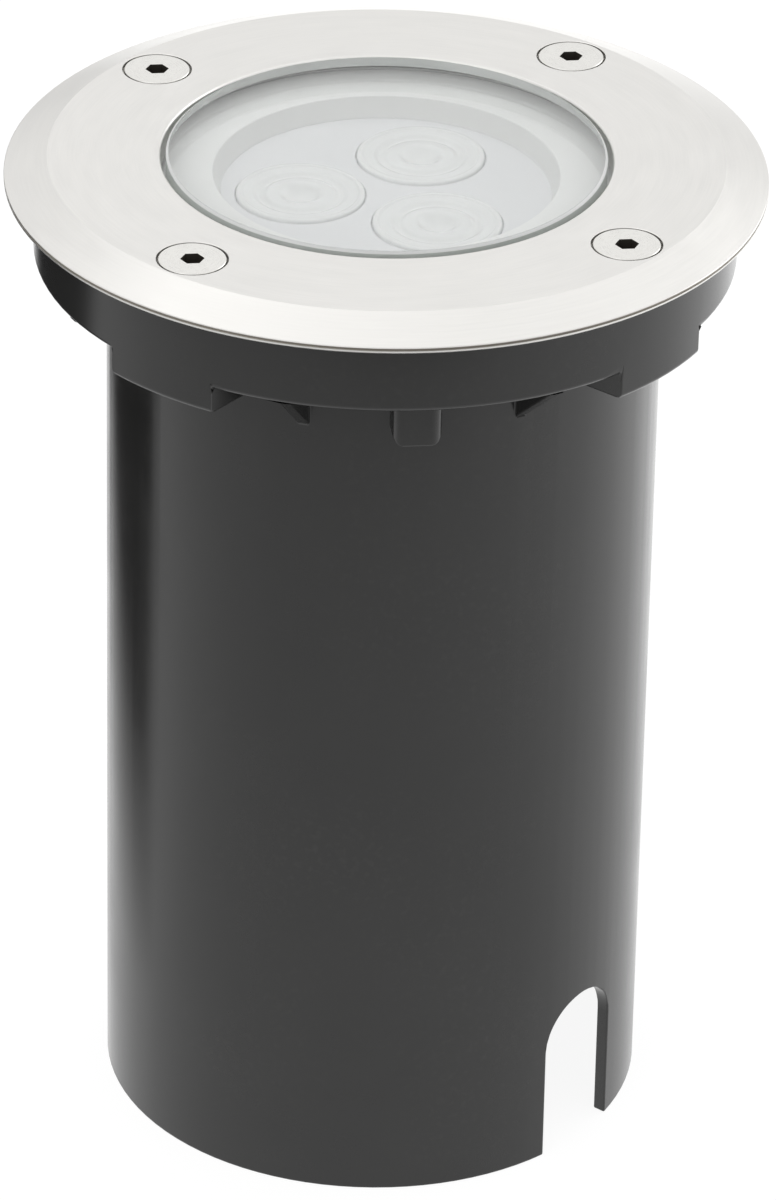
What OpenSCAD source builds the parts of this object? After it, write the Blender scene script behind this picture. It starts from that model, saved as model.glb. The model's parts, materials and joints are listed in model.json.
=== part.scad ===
/* [Trim ring] */
// Outer diameter of the steel trim ring
ring_d = 110; // [106:1:118]
// Thickness of the trim ring under its flat top
ring_t = 3.5; // [3.2:0.1:4.5]
// Width of the sloping bevel round the rim
bevel_w = 6.2; // [3:0.1:6.6]
// Height that the bevel falls towards the rim
bevel_drop = 2.5; // [1:0.1:2.8]
// Diameter of the window hole
window_d = 65; // [62:0.5:66]
// Rounding of the rim's lower edge
rim_round = 0.3; // [0.1:0.05:0.35]
// Distance from the rim to the drip groove under the ring
groove_back = 2.7; // [2:0.1:3.2]
// Width of the drip groove
groove_w = 0.8; // [0.4:0.1:0.8]
// Depth of the drip groove
groove_h = 0.5; // [0.2:0.1:0.8]
// Small bevel on the edge of the window hole
window_lip = 0.25; // [0.1:0.05:0.3]

/* [Cover screws] */
// Diameter of the circle that the cover screws stand on
screw_pcd = 86.6; // [86:0.1:87.4]
// Outer diameter of the screw thread
screw_d = 5; // [4:0.5:5]
// Diameter of the countersunk head
head_d = 9.6; // [8.6:0.1:9.8]
// Width across the flats of the hexagon socket
hex_af = 3; // [2.5:0.5:3.5]
// Depth of the hexagon socket
hex_depth = 2.2; // [1.6:0.1:2.6]
// Height of the short cylinder above the head's cone
head_rim = 0.4; // [0.2:0.1:0.6]
// Bevel on the edge of the head's face
head_bevel = 0.15; // [0.05:0.05:0.3]
// Length of the screw with its head
screw_len = 16; // [14:0.5:17]
// Bevel on the tip of the screw
tip_bevel = 0.6; // [0.3:0.1:1]
// Thickness of the sealing ring round the screw under its head
seal_cord = 0.76; // [0.5:0.02:0.8]

/* [Window glass] */
// Thickness of the glass from its top face to its bottom face
glass_t = 8.2; // [7:0.1:8.6]
// Height of the glass face above the steel face
glass_proud = 0.45; // [0:0.05:1]
// Gap between the glass and the steel round the window
glass_gap = 0.75; // [0.4:0.05:1]
// Width of the glass step that is clamped under the ring
glass_step = 4.75; // [3.5:0.05:5]
// Width of the ground bevel at the edge of the glass face
glass_bevel = 0.35; // [0.1:0.05:0.5]
// Gap between the glass and the housing round it
glass_play = 0.4; // [0.2:0.05:0.6]
// Thickness of the flat gasket between ring and glass
top_gasket_t = 0.5; // [0.3:0.1:1]
// Thickness of the seat gasket under the glass
seat_gasket_t = 1.4; // [1:0.1:2]

/* [Sleeve] */
// Height of the sleeve from the ground end to the ring
sleeve_h = 148; // [140:1:170]
// Outer diameter of the sleeve tube
sleeve_d = 80.5; // [79.5:0.5:81]
// Wall of the sleeve tube
sleeve_wall = 2; // [1.6:0.1:2.4]
// Outer diameter of the collar under the ring
collar_d = 101.6; // [100.6:0.2:103]
// Height of the collar
collar_h = 11.4; // [10.6:0.1:13]
// Wall of the collar round the lamp flange
collar_wall = 2.9; // [2:0.1:3.1]
// Width of the screw lugs under the collar
lug_w = 18.2; // [14:0.2:20]
// Height of the screw lugs below the collar
lug_drop = 3.9; // [2:0.1:5]
// Width of the upright bosses between the lugs
boss_w = 7; // [5:0.5:10]
// Reach of the upright bosses from the tube
boss_out = 4; // [2:0.1:6]
// Height of the upright bosses below the collar
boss_drop = 8.9; // [5:0.1:14]
// Rounding of the bosses' upright edges
boss_round = 1.6; // [0.5:0.1:1.8]
// Thickness of the gussets under the collar
gusset_t = 1.8; // [1.2:0.1:3]
// Height of the gussets below the collar
gusset_drop = 8.4; // [4:0.1:14]
// Distance from the collar's edge to the gussets
gusset_back = 0.6; // [0.2:0.1:1.5]
// Angle from a boss to the gussets beside it
gusset_angle = 22.5; // [18:0.5:26]
// Width of the cable notches
notch_w = 15; // [12:0.5:20]
// Height of the cable notches
notch_h = 25.5; // [18:0.5:36]
// Outer diameter of the brass thread inserts
insert_d = 7; // [6.4:0.1:8]
// Length of the brass thread inserts
insert_len = 7; // [5:0.1:8]

/* [Lamp housing] */
// Outer diameter of the housing flange
flange_d = 95; // [94.4:0.1:95.2]
// Thickness of the housing flange
flange_t = 7; // [6.4:0.1:8]
// Outer diameter of the housing pot
pot_d = 72; // [70.5:0.5:73]
// Wall of the housing pot
pot_wall = 2.6; // [2:0.1:2.8]
// Depth of the pot below the flange
pot_depth = 73; // [72:1:80]
// Floor of the pot
pot_floor = 3; // [2:0.1:4]
// Diameter of the three columns that carry the heat sink
column_d = 6.4; // [5:0.2:7]

/* [Optics] */
// Diameter of the opening in the white reflector ring
opening_d = 50; // [46:0.5:51]
// Narrowing of the reflector cone on its way down, on the diameter
cone_taper = 2.4; // [0:0.1:4]
// Depth of the lens plate below the reflector face
optic_depth = 3.1; // [2:0.1:5]
// Wall of the reflector cone
reflector_wall = 1.2; // [0.8:0.1:1.4]
// Gap between the glass and the reflector face
reflector_gap = 0.2; // [0.1:0.05:0.4]
// Diameter of the circle that the lenses stand on
lens_pcd = 24.8; // [24:0.1:25.4]
// Diameter of a lens at its rim
lens_d = 18.6; // [17:0.1:19]
// Diameter of a lens at its foot
lens_foot_d = 8.4; // [7:0.1:9]
// Height of the lens rims above the lens plate
lens_proud = 0.45; // [0:0.05:1]
// Height from the LED board to the lens plate's face
optic_h = 9.25; // [8.6:0.05:11]
// Thickness of the lens plate
plate_t = 1.5; // [1:0.1:2]
// Wall of the lens plate's skirt
skirt_t = 1.4; // [1:0.1:2]
// Diameter of the dish in a lens's face
dish_d = 6; // [4:0.2:7]
// Depth of the dish in a lens's face
dish_depth = 1.6; // [1:0.1:2]

/* [Light engine] */
// Diameter of the LED board
board_d = 54; // [53:0.5:56]
// Thickness of the LED board
board_t = 1.6; // [1:0.1:2]
// Side of an LED's square base
led_base = 5; // [3.4:0.1:5.2]
// Height of an LED's square base
led_base_h = 0.9; // [0.6:0.1:1]
// Diameter of an LED's dome
led_dome_d = 3.8; // [2.4:0.1:4]
// Thickness of the thermal pad
pad_t = 0.5; // [0.3:0.1:1]
// Thickness of the heat sink's plate
sink_t = 8; // [6:0.5:10]
// Height of the heat sink's fins
fin_h = 8; // [5:0.5:9]
// Thickness of a fin
fin_t = 1.8; // [1.2:0.1:2.4]
// Spacing of the fins
fin_pitch = 5; // [4:0.1:6]

/* [Driver and gland] */
// Outer diameter of the driver tray
tray_d = 50; // [49:0.5:51]
// Height of the driver tray
tray_h = 15; // [14.5:0.5:16]
// Length of the driver tray's legs
leg_h = 17.5; // [16.5:0.5:19]
// Wall and floor of the driver tray
tray_wall = 1.5; // [1.2:0.1:2]
// Thickness of the driver board
driver_board_t = 1.6; // [1:0.1:2]
// Diameter of the gland's thread
gland_d = 16; // [15:0.5:17]
// Diameter of the cable that the gland takes
cable_d = 7; // [5:0.5:8]
// Width of the gland's hexagons across the flats
gland_af = 20; // [19:0.5:22]

/* [Hidden] */
$fn = 96;

// Small clearances that the fits share
run_gap = 0.05;
bore_gap = 0.25;
seat_gap = 0.3;
face_gap = 0.02;
over = 1;

// Radii
ring_r = ring_d / 2;
window_r = window_d / 2;
screw_r = screw_pcd / 2;
shank_r = screw_d / 2;
head_r = head_d / 2;
sleeve_r = sleeve_d / 2;
sleeve_in_r = sleeve_r - sleeve_wall;
collar_r = collar_d / 2;
pocket_r = collar_r - collar_wall;
flange_r = flange_d / 2;
pot_r = pot_d / 2;
pot_in_r = pot_r - pot_wall;
plug_r = window_r - glass_gap;
glass_r = plug_r + glass_step;
glass_pocket_r = glass_r + glass_play;
insert_r = insert_d / 2;
seal_bore_r = shank_r + run_gap;
seal_outer_r = seal_bore_r + seal_cord;
ring_hole_r = seal_outer_r + seat_gap;
groove_r = ring_r - groove_back - groove_w;
gland_r = gland_d / 2;

// Levels, from the ground end upwards
ring_z = sleeve_h;
top_z = ring_z + ring_t;
glass_top_z = top_z + glass_proud;
glass_bottom_z = glass_top_z - glass_t;
glass_step_z = ring_z - top_gasket_t;
seat_z = glass_bottom_z - seat_gasket_t;
shoulder_z = ring_z - flange_t;
collar_z = ring_z - collar_h;
lug_z = collar_z - lug_drop;
reflector_z = glass_bottom_z - reflector_gap;
plate_z = reflector_z - optic_depth;
board_z = plate_z - optic_h;
pad_z = board_z - board_t - pad_t;
sink_z = pad_z - sink_t;
pot_z = shoulder_z - pot_depth;
floor_z = pot_z + pot_floor;
tray_z = floor_z + leg_h;
tray_top_z = tray_z + tray_h;

// The gaskets' distances from the window's edge and from their neighbours
gasket_back = 0.5;
gasket_play = 0.2;
reflector_lap = 0.5;
reflector_r = pot_in_r + reflector_lap;

// Places round the axis
SCREW_ANGLES = [-45, 45, 135, 225];
NOTCH_ANGLES = [-45, 135];
LENS_ANGLES = [60, 180, 300];
COLUMN_ANGLES = [30, 150, 270];
LEG_ANGLES = [45, 135, 225, 315];

// A ring turned from a rectangle
module washer(outer, inner, z, h) {
    translate([0, 0, z])
        difference() {
            cylinder(r = outer, h = h);
            translate([0, 0, -over]) cylinder(r = inner, h = h + 2 * over);
        }
}

// A hexagon prism by its width across the flats
module hexagon(af, h) {
    cylinder(r = af / 2 / cos(30), h = h, $fn = 6);
}

// Places its children at a radius and angle round the axis
module around(angle, radius) {
    rotate([0, 0, angle]) translate([radius, 0, 0]) children();
}

// Trim ring
screw_sink_z = top_z - head_rim - seat_gap / 2;

module ring_section() {
    polygon([
        [window_r, ring_z],
        [groove_r, ring_z],
        [groove_r, ring_z + groove_h],
        [groove_r + groove_w, ring_z + groove_h],
        [groove_r + groove_w, ring_z],
        [ring_r - rim_round, ring_z],
        [ring_r, ring_z + rim_round],
        [ring_r, top_z - bevel_drop],
        [ring_r - bevel_w, top_z],
        [window_r + window_lip, top_z],
        [window_r, top_z - window_lip]
    ]);
}

// The countersink follows the head with a thin gap all round
module countersink() {
    sink_r = head_r + seat_gap;
    cone_h = sink_r - ring_hole_r;
    translate([0, 0, ring_z - over]) cylinder(r = ring_hole_r, h = ring_t + 2 * over);
    translate([0, 0, screw_sink_z - cone_h]) cylinder(r1 = ring_hole_r, r2 = sink_r, h = cone_h);
    translate([0, 0, screw_sink_z]) cylinder(r = sink_r, h = ring_t);
}

module trim_ring() {
    color("gainsboro")
        difference() {
            rotate_extrude($fn = 180) ring_section();
            for (a = SCREW_ANGLES) around(a, screw_r) countersink();
        }
}

// Cover screws, countersunk, with a hexagon socket
module cover_screw(index) {
    cone_h = head_r - shank_r;
    color("silver")
        around(SCREW_ANGLES[index], screw_r) translate([0, 0, top_z])
            difference() {
                rotate_extrude()
                    polygon([
                        [0, 0],
                        [head_r - head_bevel, 0],
                        [head_r, -head_bevel],
                        [head_r, -head_rim],
                        [shank_r, -head_rim - cone_h],
                        [shank_r, -screw_len + tip_bevel],
                        [shank_r - tip_bevel, -screw_len],
                        [0, -screw_len]
                    ]);
                translate([0, 0, -hex_depth]) hexagon(hex_af, hex_depth + over);
            }
}

// Sealing rings that lie on the housing flange, round the shank
module screw_seal(index) {
    color("black")
        around(SCREW_ANGLES[index], screw_r)
            translate([0, 0, ring_z + seal_cord / 2 + face_gap])
                rotate_extrude($fn = 48)
                    translate([seal_bore_r + seal_cord / 2, 0]) circle(d = seal_cord, $fn = 24);
}

// Window glass, stepped so that the ring clamps its lower part
module window_glass() {
    color("honeydew", 0.5)
        rotate_extrude($fn = 180)
            polygon([
                [0, glass_bottom_z],
                [glass_r, glass_bottom_z],
                [glass_r, glass_step_z],
                [plug_r, glass_step_z],
                [plug_r, glass_top_z - glass_bevel],
                [plug_r - glass_bevel, glass_top_z],
                [0, glass_top_z]
            ]);
}

// The top gasket ends short of the window's edge
module top_gasket() {
    color("dimgray") washer(glass_r, window_r + gasket_back, glass_step_z, top_gasket_t);
}

// The seat gasket lies outside the reflector's flange
module seat_gasket() {
    color("whitesmoke")
        washer(glass_pocket_r - gasket_play, reflector_r + gasket_play, seat_z, seat_gasket_t);
}

// Reflector ring: a flat flange on the housing's ledge and a short cone
module reflector_ring() {
    top_r = opening_d / 2;
    foot_r = top_r - cone_taper / 2;
    color("white")
        rotate_extrude($fn = 144)
            polygon([
                [top_r, reflector_z],
                [reflector_r, reflector_z],
                [reflector_r, seat_z],
                [top_r + reflector_wall, seat_z],
                [foot_r + reflector_wall, plate_z],
                [foot_r, plate_z]
            ]);
}

// Lens plate: a face with three seats and a skirt that stands on the LED board
plate_r = board_d / 2;
lens_play = 0.2;
lens_ledge = 0.5;
lens_seat_r = lens_d / 2 + lens_play;
lens_hole_r = lens_d / 2 - lens_ledge;

module lens_plate() {
    color("white")
        difference() {
            union() {
                translate([0, 0, plate_z - plate_t]) cylinder(r = plate_r, h = plate_t);
                washer(plate_r, plate_r - skirt_t, board_z, optic_h - plate_t / 2);
            }
            for (a = LENS_ANGLES) around(a, lens_pcd / 2) {
                translate([0, 0, plate_z - plate_t - over])
                    cylinder(r = lens_hole_r, h = plate_t + 2 * over);
                translate([0, 0, plate_z - plate_t / 2])
                    cylinder(r = lens_seat_r, h = plate_t);
            }
        }
}

// A lens collects the light in its curved side and lets it out at its flat face
lens_rim_h = plate_t / 2 + lens_proud;
lens_foot_z = board_z + led_base_h + lens_play;
lens_draft = 0.4;
dome_gap = 0.6;

module lens() {
    foot_r = lens_foot_d / 2;
    shoulder_r = lens_hole_r - seat_gap;
    side_h = plate_z - plate_t / 2 - lens_foot_z;
    side_curve = 0.7;
    steps = 6;
    well_r = led_dome_d / 2 + dome_gap;
    well_h = well_r + lens_play;
    dish_r = dish_d / 2;
    top = side_h + lens_rim_h;
    translate([0, 0, lens_foot_z])
        rotate_extrude($fn = 72)
            polygon(concat(
                [[well_r, 0]],
                [for (i = [0:steps]) [
                    foot_r + (shoulder_r - foot_r) * pow(i / steps, side_curve),
                    side_h * i / steps
                ]],
                [
                    [lens_d / 2, side_h],
                    [lens_d / 2, top],
                    [dish_r, top],
                    [dish_r - lens_draft, top - dish_depth],
                    [0, top - dish_depth],
                    [0, well_h],
                    [well_r - lens_draft, well_h]
                ]
            ));
}

module lenses() {
    color("aliceblue", 0.6)
        for (a = LENS_ANGLES) around(a, lens_pcd / 2) lens();
}

// Small screws: radius, length, head height, socket width and socket depth
board_screw_pcd = 40;
board_screw_r = 1.25;
board_screw_len = 6;
board_screw_head_h = 1.4;
board_screw_af = 1.5;
board_screw_socket = 0.8;
sink_screw_r = 1.5;
sink_screw_head_h = 1.6;
sink_screw_af = 2;
sink_screw_socket = 0.9;
sink_screw_bite = 6;
BOARD_SCREW_ANGLES = [0, 120, 240];

// Holes through a flat layer for the leads and the small screws, and notches round the sink screws
module layer_cuts(z, h, play) {
    translate([0, 0, z - over]) cylinder(r = board_hole_r + play, h = h + 2 * over);
    for (a = BOARD_SCREW_ANGLES) around(a, board_screw_pcd / 2)
        translate([0, 0, z - over])
            cylinder(r = board_screw_r + bore_gap + play, h = h + 2 * over, $fn = 32);
    for (a = COLUMN_ANGLES) around(a, column_ring)
        translate([0, 0, z - over])
            cylinder(r = 2 * sink_screw_r + seat_gap, h = h + 2 * over, $fn = 48);
}

// LED board
board_hole_r = 3.2;
pad_play = 0.5;

module led_board() {
    color("white")
        difference() {
            translate([0, 0, board_z - board_t]) cylinder(r = board_d / 2, h = board_t);
            layer_cuts(board_z - board_t, board_t, 0);
        }
}

module led_emitters() {
    color("gold")
        for (a = LENS_ANGLES) around(a, lens_pcd / 2) translate([0, 0, board_z]) {
            translate([-led_base / 2, -led_base / 2, 0]) cube([led_base, led_base, led_base_h]);
            translate([0, 0, led_base_h - face_gap / 2])
                intersection() {
                    sphere(d = led_dome_d, $fn = 32);
                    translate([0, 0, led_dome_d / 2]) cube(led_dome_d, center = true);
                }
        }
}

// A small pan head screw, with the underside of its head at the origin
module pan_screw(r, length, head) {
    cylinder(r = 2 * r, h = head, $fn = 32);
    translate([0, 0, -length]) cylinder(r = r, h = length + head / 2, $fn = 32);
}

module board_screws() {
    color("silver")
        for (a = BOARD_SCREW_ANGLES) around(a, board_screw_pcd / 2) translate([0, 0, board_z])
            difference() {
                pan_screw(board_screw_r, board_screw_len, board_screw_head_h);
                translate([0, 0, board_screw_head_h - board_screw_socket])
                    hexagon(board_screw_af, over);
            }
}

module thermal_pad() {
    color("lightsteelblue")
        difference() {
            translate([0, 0, pad_z]) cylinder(r = board_d / 2 - pad_play, h = pad_t);
            layer_cuts(pad_z, pad_t, bore_gap);
        }
}

// Heat sink: a round plate with straight fins under it
sink_play = 0.6;
sink_r = pot_in_r - sink_play;
column_ring = sink_r - column_d / 2 - seat_gap;
fin_field_r = column_ring - column_d / 2 - 2 * sink_play;
board_screw_hole_h = board_screw_len - board_t - pad_t + over;

module heat_sink() {
    fins = floor(fin_field_r / fin_pitch);
    color("lightgray")
        difference() {
            union() {
                translate([0, 0, sink_z]) cylinder(r = sink_r, h = sink_t);
                intersection() {
                    translate([0, 0, sink_z - fin_h]) cylinder(r = fin_field_r, h = fin_h + over);
                    for (i = [-fins:fins])
                        translate([-fin_field_r, i * fin_pitch - fin_t / 2, sink_z - fin_h])
                            cube([2 * fin_field_r, fin_t, fin_h + over]);
                }
            }
            translate([0, 0, sink_z - fin_h - over])
                cylinder(r = board_hole_r, h = sink_t + fin_h + 2 * over);
            for (a = COLUMN_ANGLES) around(a, column_ring)
                translate([0, 0, sink_z - over])
                    cylinder(r = sink_screw_r + bore_gap, h = sink_t + 2 * over, $fn = 32);
            for (a = BOARD_SCREW_ANGLES) around(a, board_screw_pcd / 2)
                translate([0, 0, pad_z - board_screw_hole_h])
                    cylinder(r = board_screw_r + run_gap, h = board_screw_hole_h + over, $fn = 32);
        }
}

module sink_screws() {
    color("silver")
        for (a = COLUMN_ANGLES) around(a, column_ring) translate([0, 0, pad_z])
            difference() {
                pan_screw(sink_screw_r, sink_t + sink_screw_bite, sink_screw_head_h);
                translate([0, 0, sink_screw_head_h - sink_screw_socket])
                    hexagon(sink_screw_af, over);
            }
}

// Lamp housing: a pot with a thick flange, closed at the bottom round the gland
housing_rib_t = 2;
screw_tip_gap = 2;
column_hole_h = sink_screw_bite + screw_tip_gap;

module lamp_housing() {
    color("darkslategray")
        difference() {
            union() {
                difference() {
                    union() {
                        translate([0, 0, shoulder_z]) cylinder(r = flange_r, h = flange_t, $fn = 144);
                        translate([0, 0, pot_z]) cylinder(r = pot_r, h = pot_depth + over, $fn = 144);
                    }
                    translate([0, 0, floor_z]) cylinder(r = pot_in_r, h = seat_z - floor_z + over);
                    translate([0, 0, seat_z]) cylinder(r = glass_pocket_r, h = ring_z - seat_z + over);
                }
                for (a = COLUMN_ANGLES) intersection() {
                    around(a, column_ring)
                        translate([0, 0, pot_z + over]) cylinder(d = column_d, h = sink_z - pot_z - over);
                    translate([0, 0, pot_z]) cylinder(r = pot_in_r + pot_wall / 2, h = pot_depth);
                }
                for (a = COLUMN_ANGLES) rotate([0, 0, a])
                    translate([column_ring, -housing_rib_t / 2, floor_z - over])
                        cube([
                            pot_in_r + pot_wall / 2 - column_ring,
                            housing_rib_t,
                            sink_z - floor_z + over
                        ]);
            }
            for (a = SCREW_ANGLES) around(a, screw_r)
                translate([0, 0, shoulder_z - over])
                    cylinder(r = shank_r + bore_gap, h = flange_t + 2 * over);
            for (a = COLUMN_ANGLES) around(a, column_ring)
                translate([0, 0, sink_z - column_hole_h])
                    cylinder(r = sink_screw_r + run_gap, h = column_hole_h + over, $fn = 32);
            translate([0, 0, pot_z - over]) cylinder(r = gland_r + run_gap, h = pot_floor + 2 * over);
        }
}

// Driver: a tray on four legs, its board, the parts on it and a lid
tray_r = tray_d / 2;
tray_in_r = tray_r - tray_wall;
ledge_h = 2.5;
ledge_w = 1.5;
leg_r = 2;
leg_edge_gap = 1;
leg_ring = tray_r - leg_r - leg_edge_gap;
driver_board_z = tray_z + tray_wall + ledge_h;
board_edge_gap = 0.3;
lead_r = 0.8;
lead_x = 1.6;
lead_run = 3;
lead_hole_gap = 0.4;
mains_x = 5;
mains_y = 18;

module driver_tray() {
    color("dimgray")
        difference() {
            union() {
                difference() {
                    translate([0, 0, tray_z]) cylinder(r = tray_r, h = tray_h);
                    translate([0, 0, tray_z + tray_wall]) cylinder(r = tray_in_r - ledge_w, h = tray_h);
                    translate([0, 0, driver_board_z]) cylinder(r = tray_in_r, h = tray_h);
                }
                for (a = LEG_ANGLES) around(a, leg_ring)
                    translate([0, 0, floor_z]) cylinder(r = leg_r, h = leg_h + tray_wall, $fn = 32);
            }
            for (side = [-1, 1])
                translate([side * mains_x, mains_y, tray_z - over])
                    cylinder(r = lead_r + lead_hole_gap, h = tray_wall + 2 * over, $fn = 32);
        }
}

module driver_board() {
    color("darkgreen")
        translate([0, 0, driver_board_z])
            cylinder(r = tray_in_r - board_edge_gap, h = driver_board_t);
}

// The parts on the driver board: their sizes, and their places on it
lid_gap = 1;
lead_gap = 1;
transformer_w = 13;
transformer_y = -8;
can_r = 5;
can_x = 10;
can_y = -9;
small_can_r = 4;
small_can_x = 12;
small_can_y = 6;
choke_r = 4.5;
choke_h = 4;
choke_y = 10;
choke_floor = 0.8;
filter_l = 9;
filter_w = 5;
filter_h = 4;
filter_x = -15;
filter_y = 8;

module driver_components() {
    room = tray_top_z - driver_board_z - driver_board_t - lid_gap;
    color("darkorange")
        translate([0, 0, driver_board_z + driver_board_t]) {
            translate([-lead_x - lead_r - lead_gap - transformer_w, transformer_y, 0])
                cube([transformer_w, transformer_w, room]);
            translate([can_x, can_y, 0]) cylinder(r = can_r, h = room, $fn = 48);
            translate([small_can_x, small_can_y, 0])
                cylinder(r = small_can_r, h = room - lid_gap, $fn = 48);
            translate([filter_x, filter_y, 0]) cube([filter_l, filter_w, filter_h]);
            translate([0, choke_y, 0]) difference() {
                cylinder(r = choke_r, h = choke_h, $fn = 48);
                translate([0, 0, choke_floor]) cylinder(r = choke_r / 2, h = choke_h, $fn = 32);
            }
        }
}

module driver_lid() {
    color("dimgray")
        difference() {
            translate([0, 0, tray_top_z]) cylinder(r = tray_r, h = tray_wall);
            for (side = [-1, 1])
                translate([side * lead_x, 0, tray_top_z - over])
                    cylinder(r = lead_r + lead_hole_gap, h = tray_wall + 2 * over, $fn = 32);
        }
}

// Terminal block for the mains conductors, beside the gland
block_w = 22;
block_d = 12;
block_h = 14;
block_y = 12;
wire_hole_r = 1.9;
wire_hole_z = 4.5;
clamp_hole_r = 1.7;
clamp_hole_h = 3;

module terminal_block() {
    pole = block_w / 3;
    color("ivory")
        difference() {
            translate([-block_w / 2, block_y, floor_z]) cube([block_w, block_d, block_h]);
            for (i = [-1:1]) {
                translate([i * pole, block_y - over, floor_z + wire_hole_z])
                    rotate([-90, 0, 0]) cylinder(r = wire_hole_r, h = block_d / 2, $fn = 32);
                translate([i * pole, block_y + block_d / 3, floor_z + block_h - clamp_hole_h])
                    cylinder(r = clamp_hole_r, h = clamp_hole_h + over, $fn = 32);
            }
        }
}

// Leads: a rise, an elbow and a short run to the solder pad
module led_leads() {
    start_z = driver_board_z + driver_board_t;
    turn_z = board_z + lead_r;
    pad_x = board_hole_r + lead_run;
    color("firebrick")
        for (side = [-1, 1]) {
            translate([side * lead_x, 0, start_z]) cylinder(r = lead_r, h = turn_z - start_z, $fn = 32);
            translate([side * lead_x, 0, turn_z]) sphere(r = lead_r, $fn = 32);
            translate([side * lead_x, 0, turn_z])
                rotate([0, side * 90, 0]) cylinder(r = lead_r, h = pad_x - lead_x, $fn = 32);
        }
}

module mains_leads() {
    start_z = floor_z + block_h;
    color("sienna")
        for (side = [-1, 1])
            translate([side * mains_x, mains_y, start_z])
                cylinder(r = lead_r, h = driver_board_z - start_z, $fn = 32);
}

// Cable gland through the pot's floor
gland_hex_h = 5;
gland_oring_h = 1.2;
gland_thread_h = 9;
gland_nut_h = 15;
locknut_h = 5;
gland_wall = 1.8;
gland_bore_r = gland_r - gland_wall;
gland_oring_w = 1.5;
gland_top_gap = 1.5;
gland_top_z = floor_z + locknut_h + gland_top_gap;
gland_hex_z = pot_z - gland_oring_h - gland_hex_h;
gland_foot_z = gland_hex_z - gland_thread_h;
gland_lip = 2.5;
gland_nut_gap = 1.5;
gland_nut_z = gland_hex_z - gland_nut_gap - gland_nut_h;
gland_mouth_gap = 0.5;
gland_mouth_r = cable_d / 2 + gland_mouth_gap;
gland_mouth_wall = 2;
gland_flare_h = 4;

module gland_body() {
    color("black")
        difference() {
            union() {
                translate([0, 0, gland_foot_z])
                    cylinder(r = gland_r, h = gland_top_z - gland_foot_z);
                translate([0, 0, gland_hex_z]) hexagon(gland_af, gland_hex_h);
            }
            translate([0, 0, gland_foot_z - over])
                cylinder(r = gland_bore_r, h = gland_top_z - gland_foot_z + 2 * over);
        }
}

module gland_o_ring() {
    color("dimgray")
        washer(gland_r + gland_oring_w, gland_r + run_gap, pot_z - gland_oring_h, gland_oring_h);
}

module gland_locknut() {
    color("black")
        difference() {
            translate([0, 0, floor_z]) hexagon(gland_af, locknut_h);
            translate([0, 0, floor_z - over]) cylinder(r = gland_r + run_gap, h = locknut_h + 2 * over);
        }
}

module gland_seal() {
    foot = gland_nut_z + gland_lip;
    color("gray") washer(gland_bore_r - run_gap, cable_d / 2, foot, gland_hex_z - foot);
}

module gland_nut() {
    color("black")
        difference() {
            union() {
                translate([0, 0, gland_nut_z + gland_flare_h])
                    hexagon(gland_af, gland_nut_h - gland_flare_h);
                translate([0, 0, gland_nut_z])
                    cylinder(
                        r1 = gland_mouth_r + gland_mouth_wall,
                        r2 = gland_af / 2,
                        h = gland_flare_h + face_gap
                    );
            }
            translate([0, 0, gland_nut_z + gland_lip])
                cylinder(r = gland_r + run_gap, h = gland_nut_h);
            translate([0, 0, gland_nut_z - over]) cylinder(r = gland_mouth_r, h = gland_nut_h);
        }
}

// Sleeve: tube, collar with a pocket for the lamp flange, lugs, bosses and gussets
module lug(angle) {
    intersection() {
        rotate([0, 0, angle])
            translate([sleeve_r - sleeve_wall / 2, -lug_w / 2, lug_z])
                cube([collar_r, lug_w, lug_drop + over]);
        translate([0, 0, lug_z]) cylinder(r = collar_r, h = lug_drop + over, $fn = 144);
    }
}

// A rectangle from the origin along +X, with its two far corners rounded
module rounded_tab(length, width, radius) {
    translate([0, -width / 2]) square([length - radius, width]);
    translate([0, radius - width / 2]) square([length, width - 2 * radius]);
    for (side = [-1, 1])
        translate([length - radius, side * (width / 2 - radius)]) circle(r = radius, $fn = 48);
}

// A boss is rounded in plan, and again at its foot as seen from outside
module boss(angle) {
    reach = sleeve_wall / 2 + boss_out;
    drop = boss_drop + over;
    rotate([0, 0, angle])
        translate([sleeve_r - sleeve_wall / 2, 0, collar_z - boss_drop])
            intersection() {
                linear_extrude(drop) rounded_tab(reach, boss_w, boss_round);
                translate([0, 0, drop])
                    rotate([0, 90, 0])
                        linear_extrude(reach) rounded_tab(drop, boss_w, boss_round);
            }
}

module gusset(angle) {
    inner = sleeve_r - sleeve_wall / 2;
    outer = collar_r - gusset_back;
    rotate([0, 0, angle])
        translate([0, gusset_t / 2, 0])
            rotate([90, 0, 0])
                linear_extrude(gusset_t)
                    polygon([
                        [inner, collar_z - gusset_drop],
                        [sleeve_r, collar_z - gusset_drop],
                        [outer, collar_z],
                        [outer, collar_z + over],
                        [inner, collar_z + over]
                    ]);
}

notch_side_angle = asin(notch_w / 2 / sleeve_in_r);

module notch(angle) {
    arch_z = notch_h - notch_w / 2;
    inner = sleeve_in_r * cos(notch_side_angle) - over;
    rotate([0, 0, angle])
        translate([inner, 0, 0])
            rotate([90, 0, 90])
                linear_extrude(sleeve_r + over - inner)
                    union() {
                        translate([-notch_w / 2, -over]) square([notch_w, arch_z + over]);
                        translate([0, arch_z]) circle(d = notch_w);
                    }
}

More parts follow.
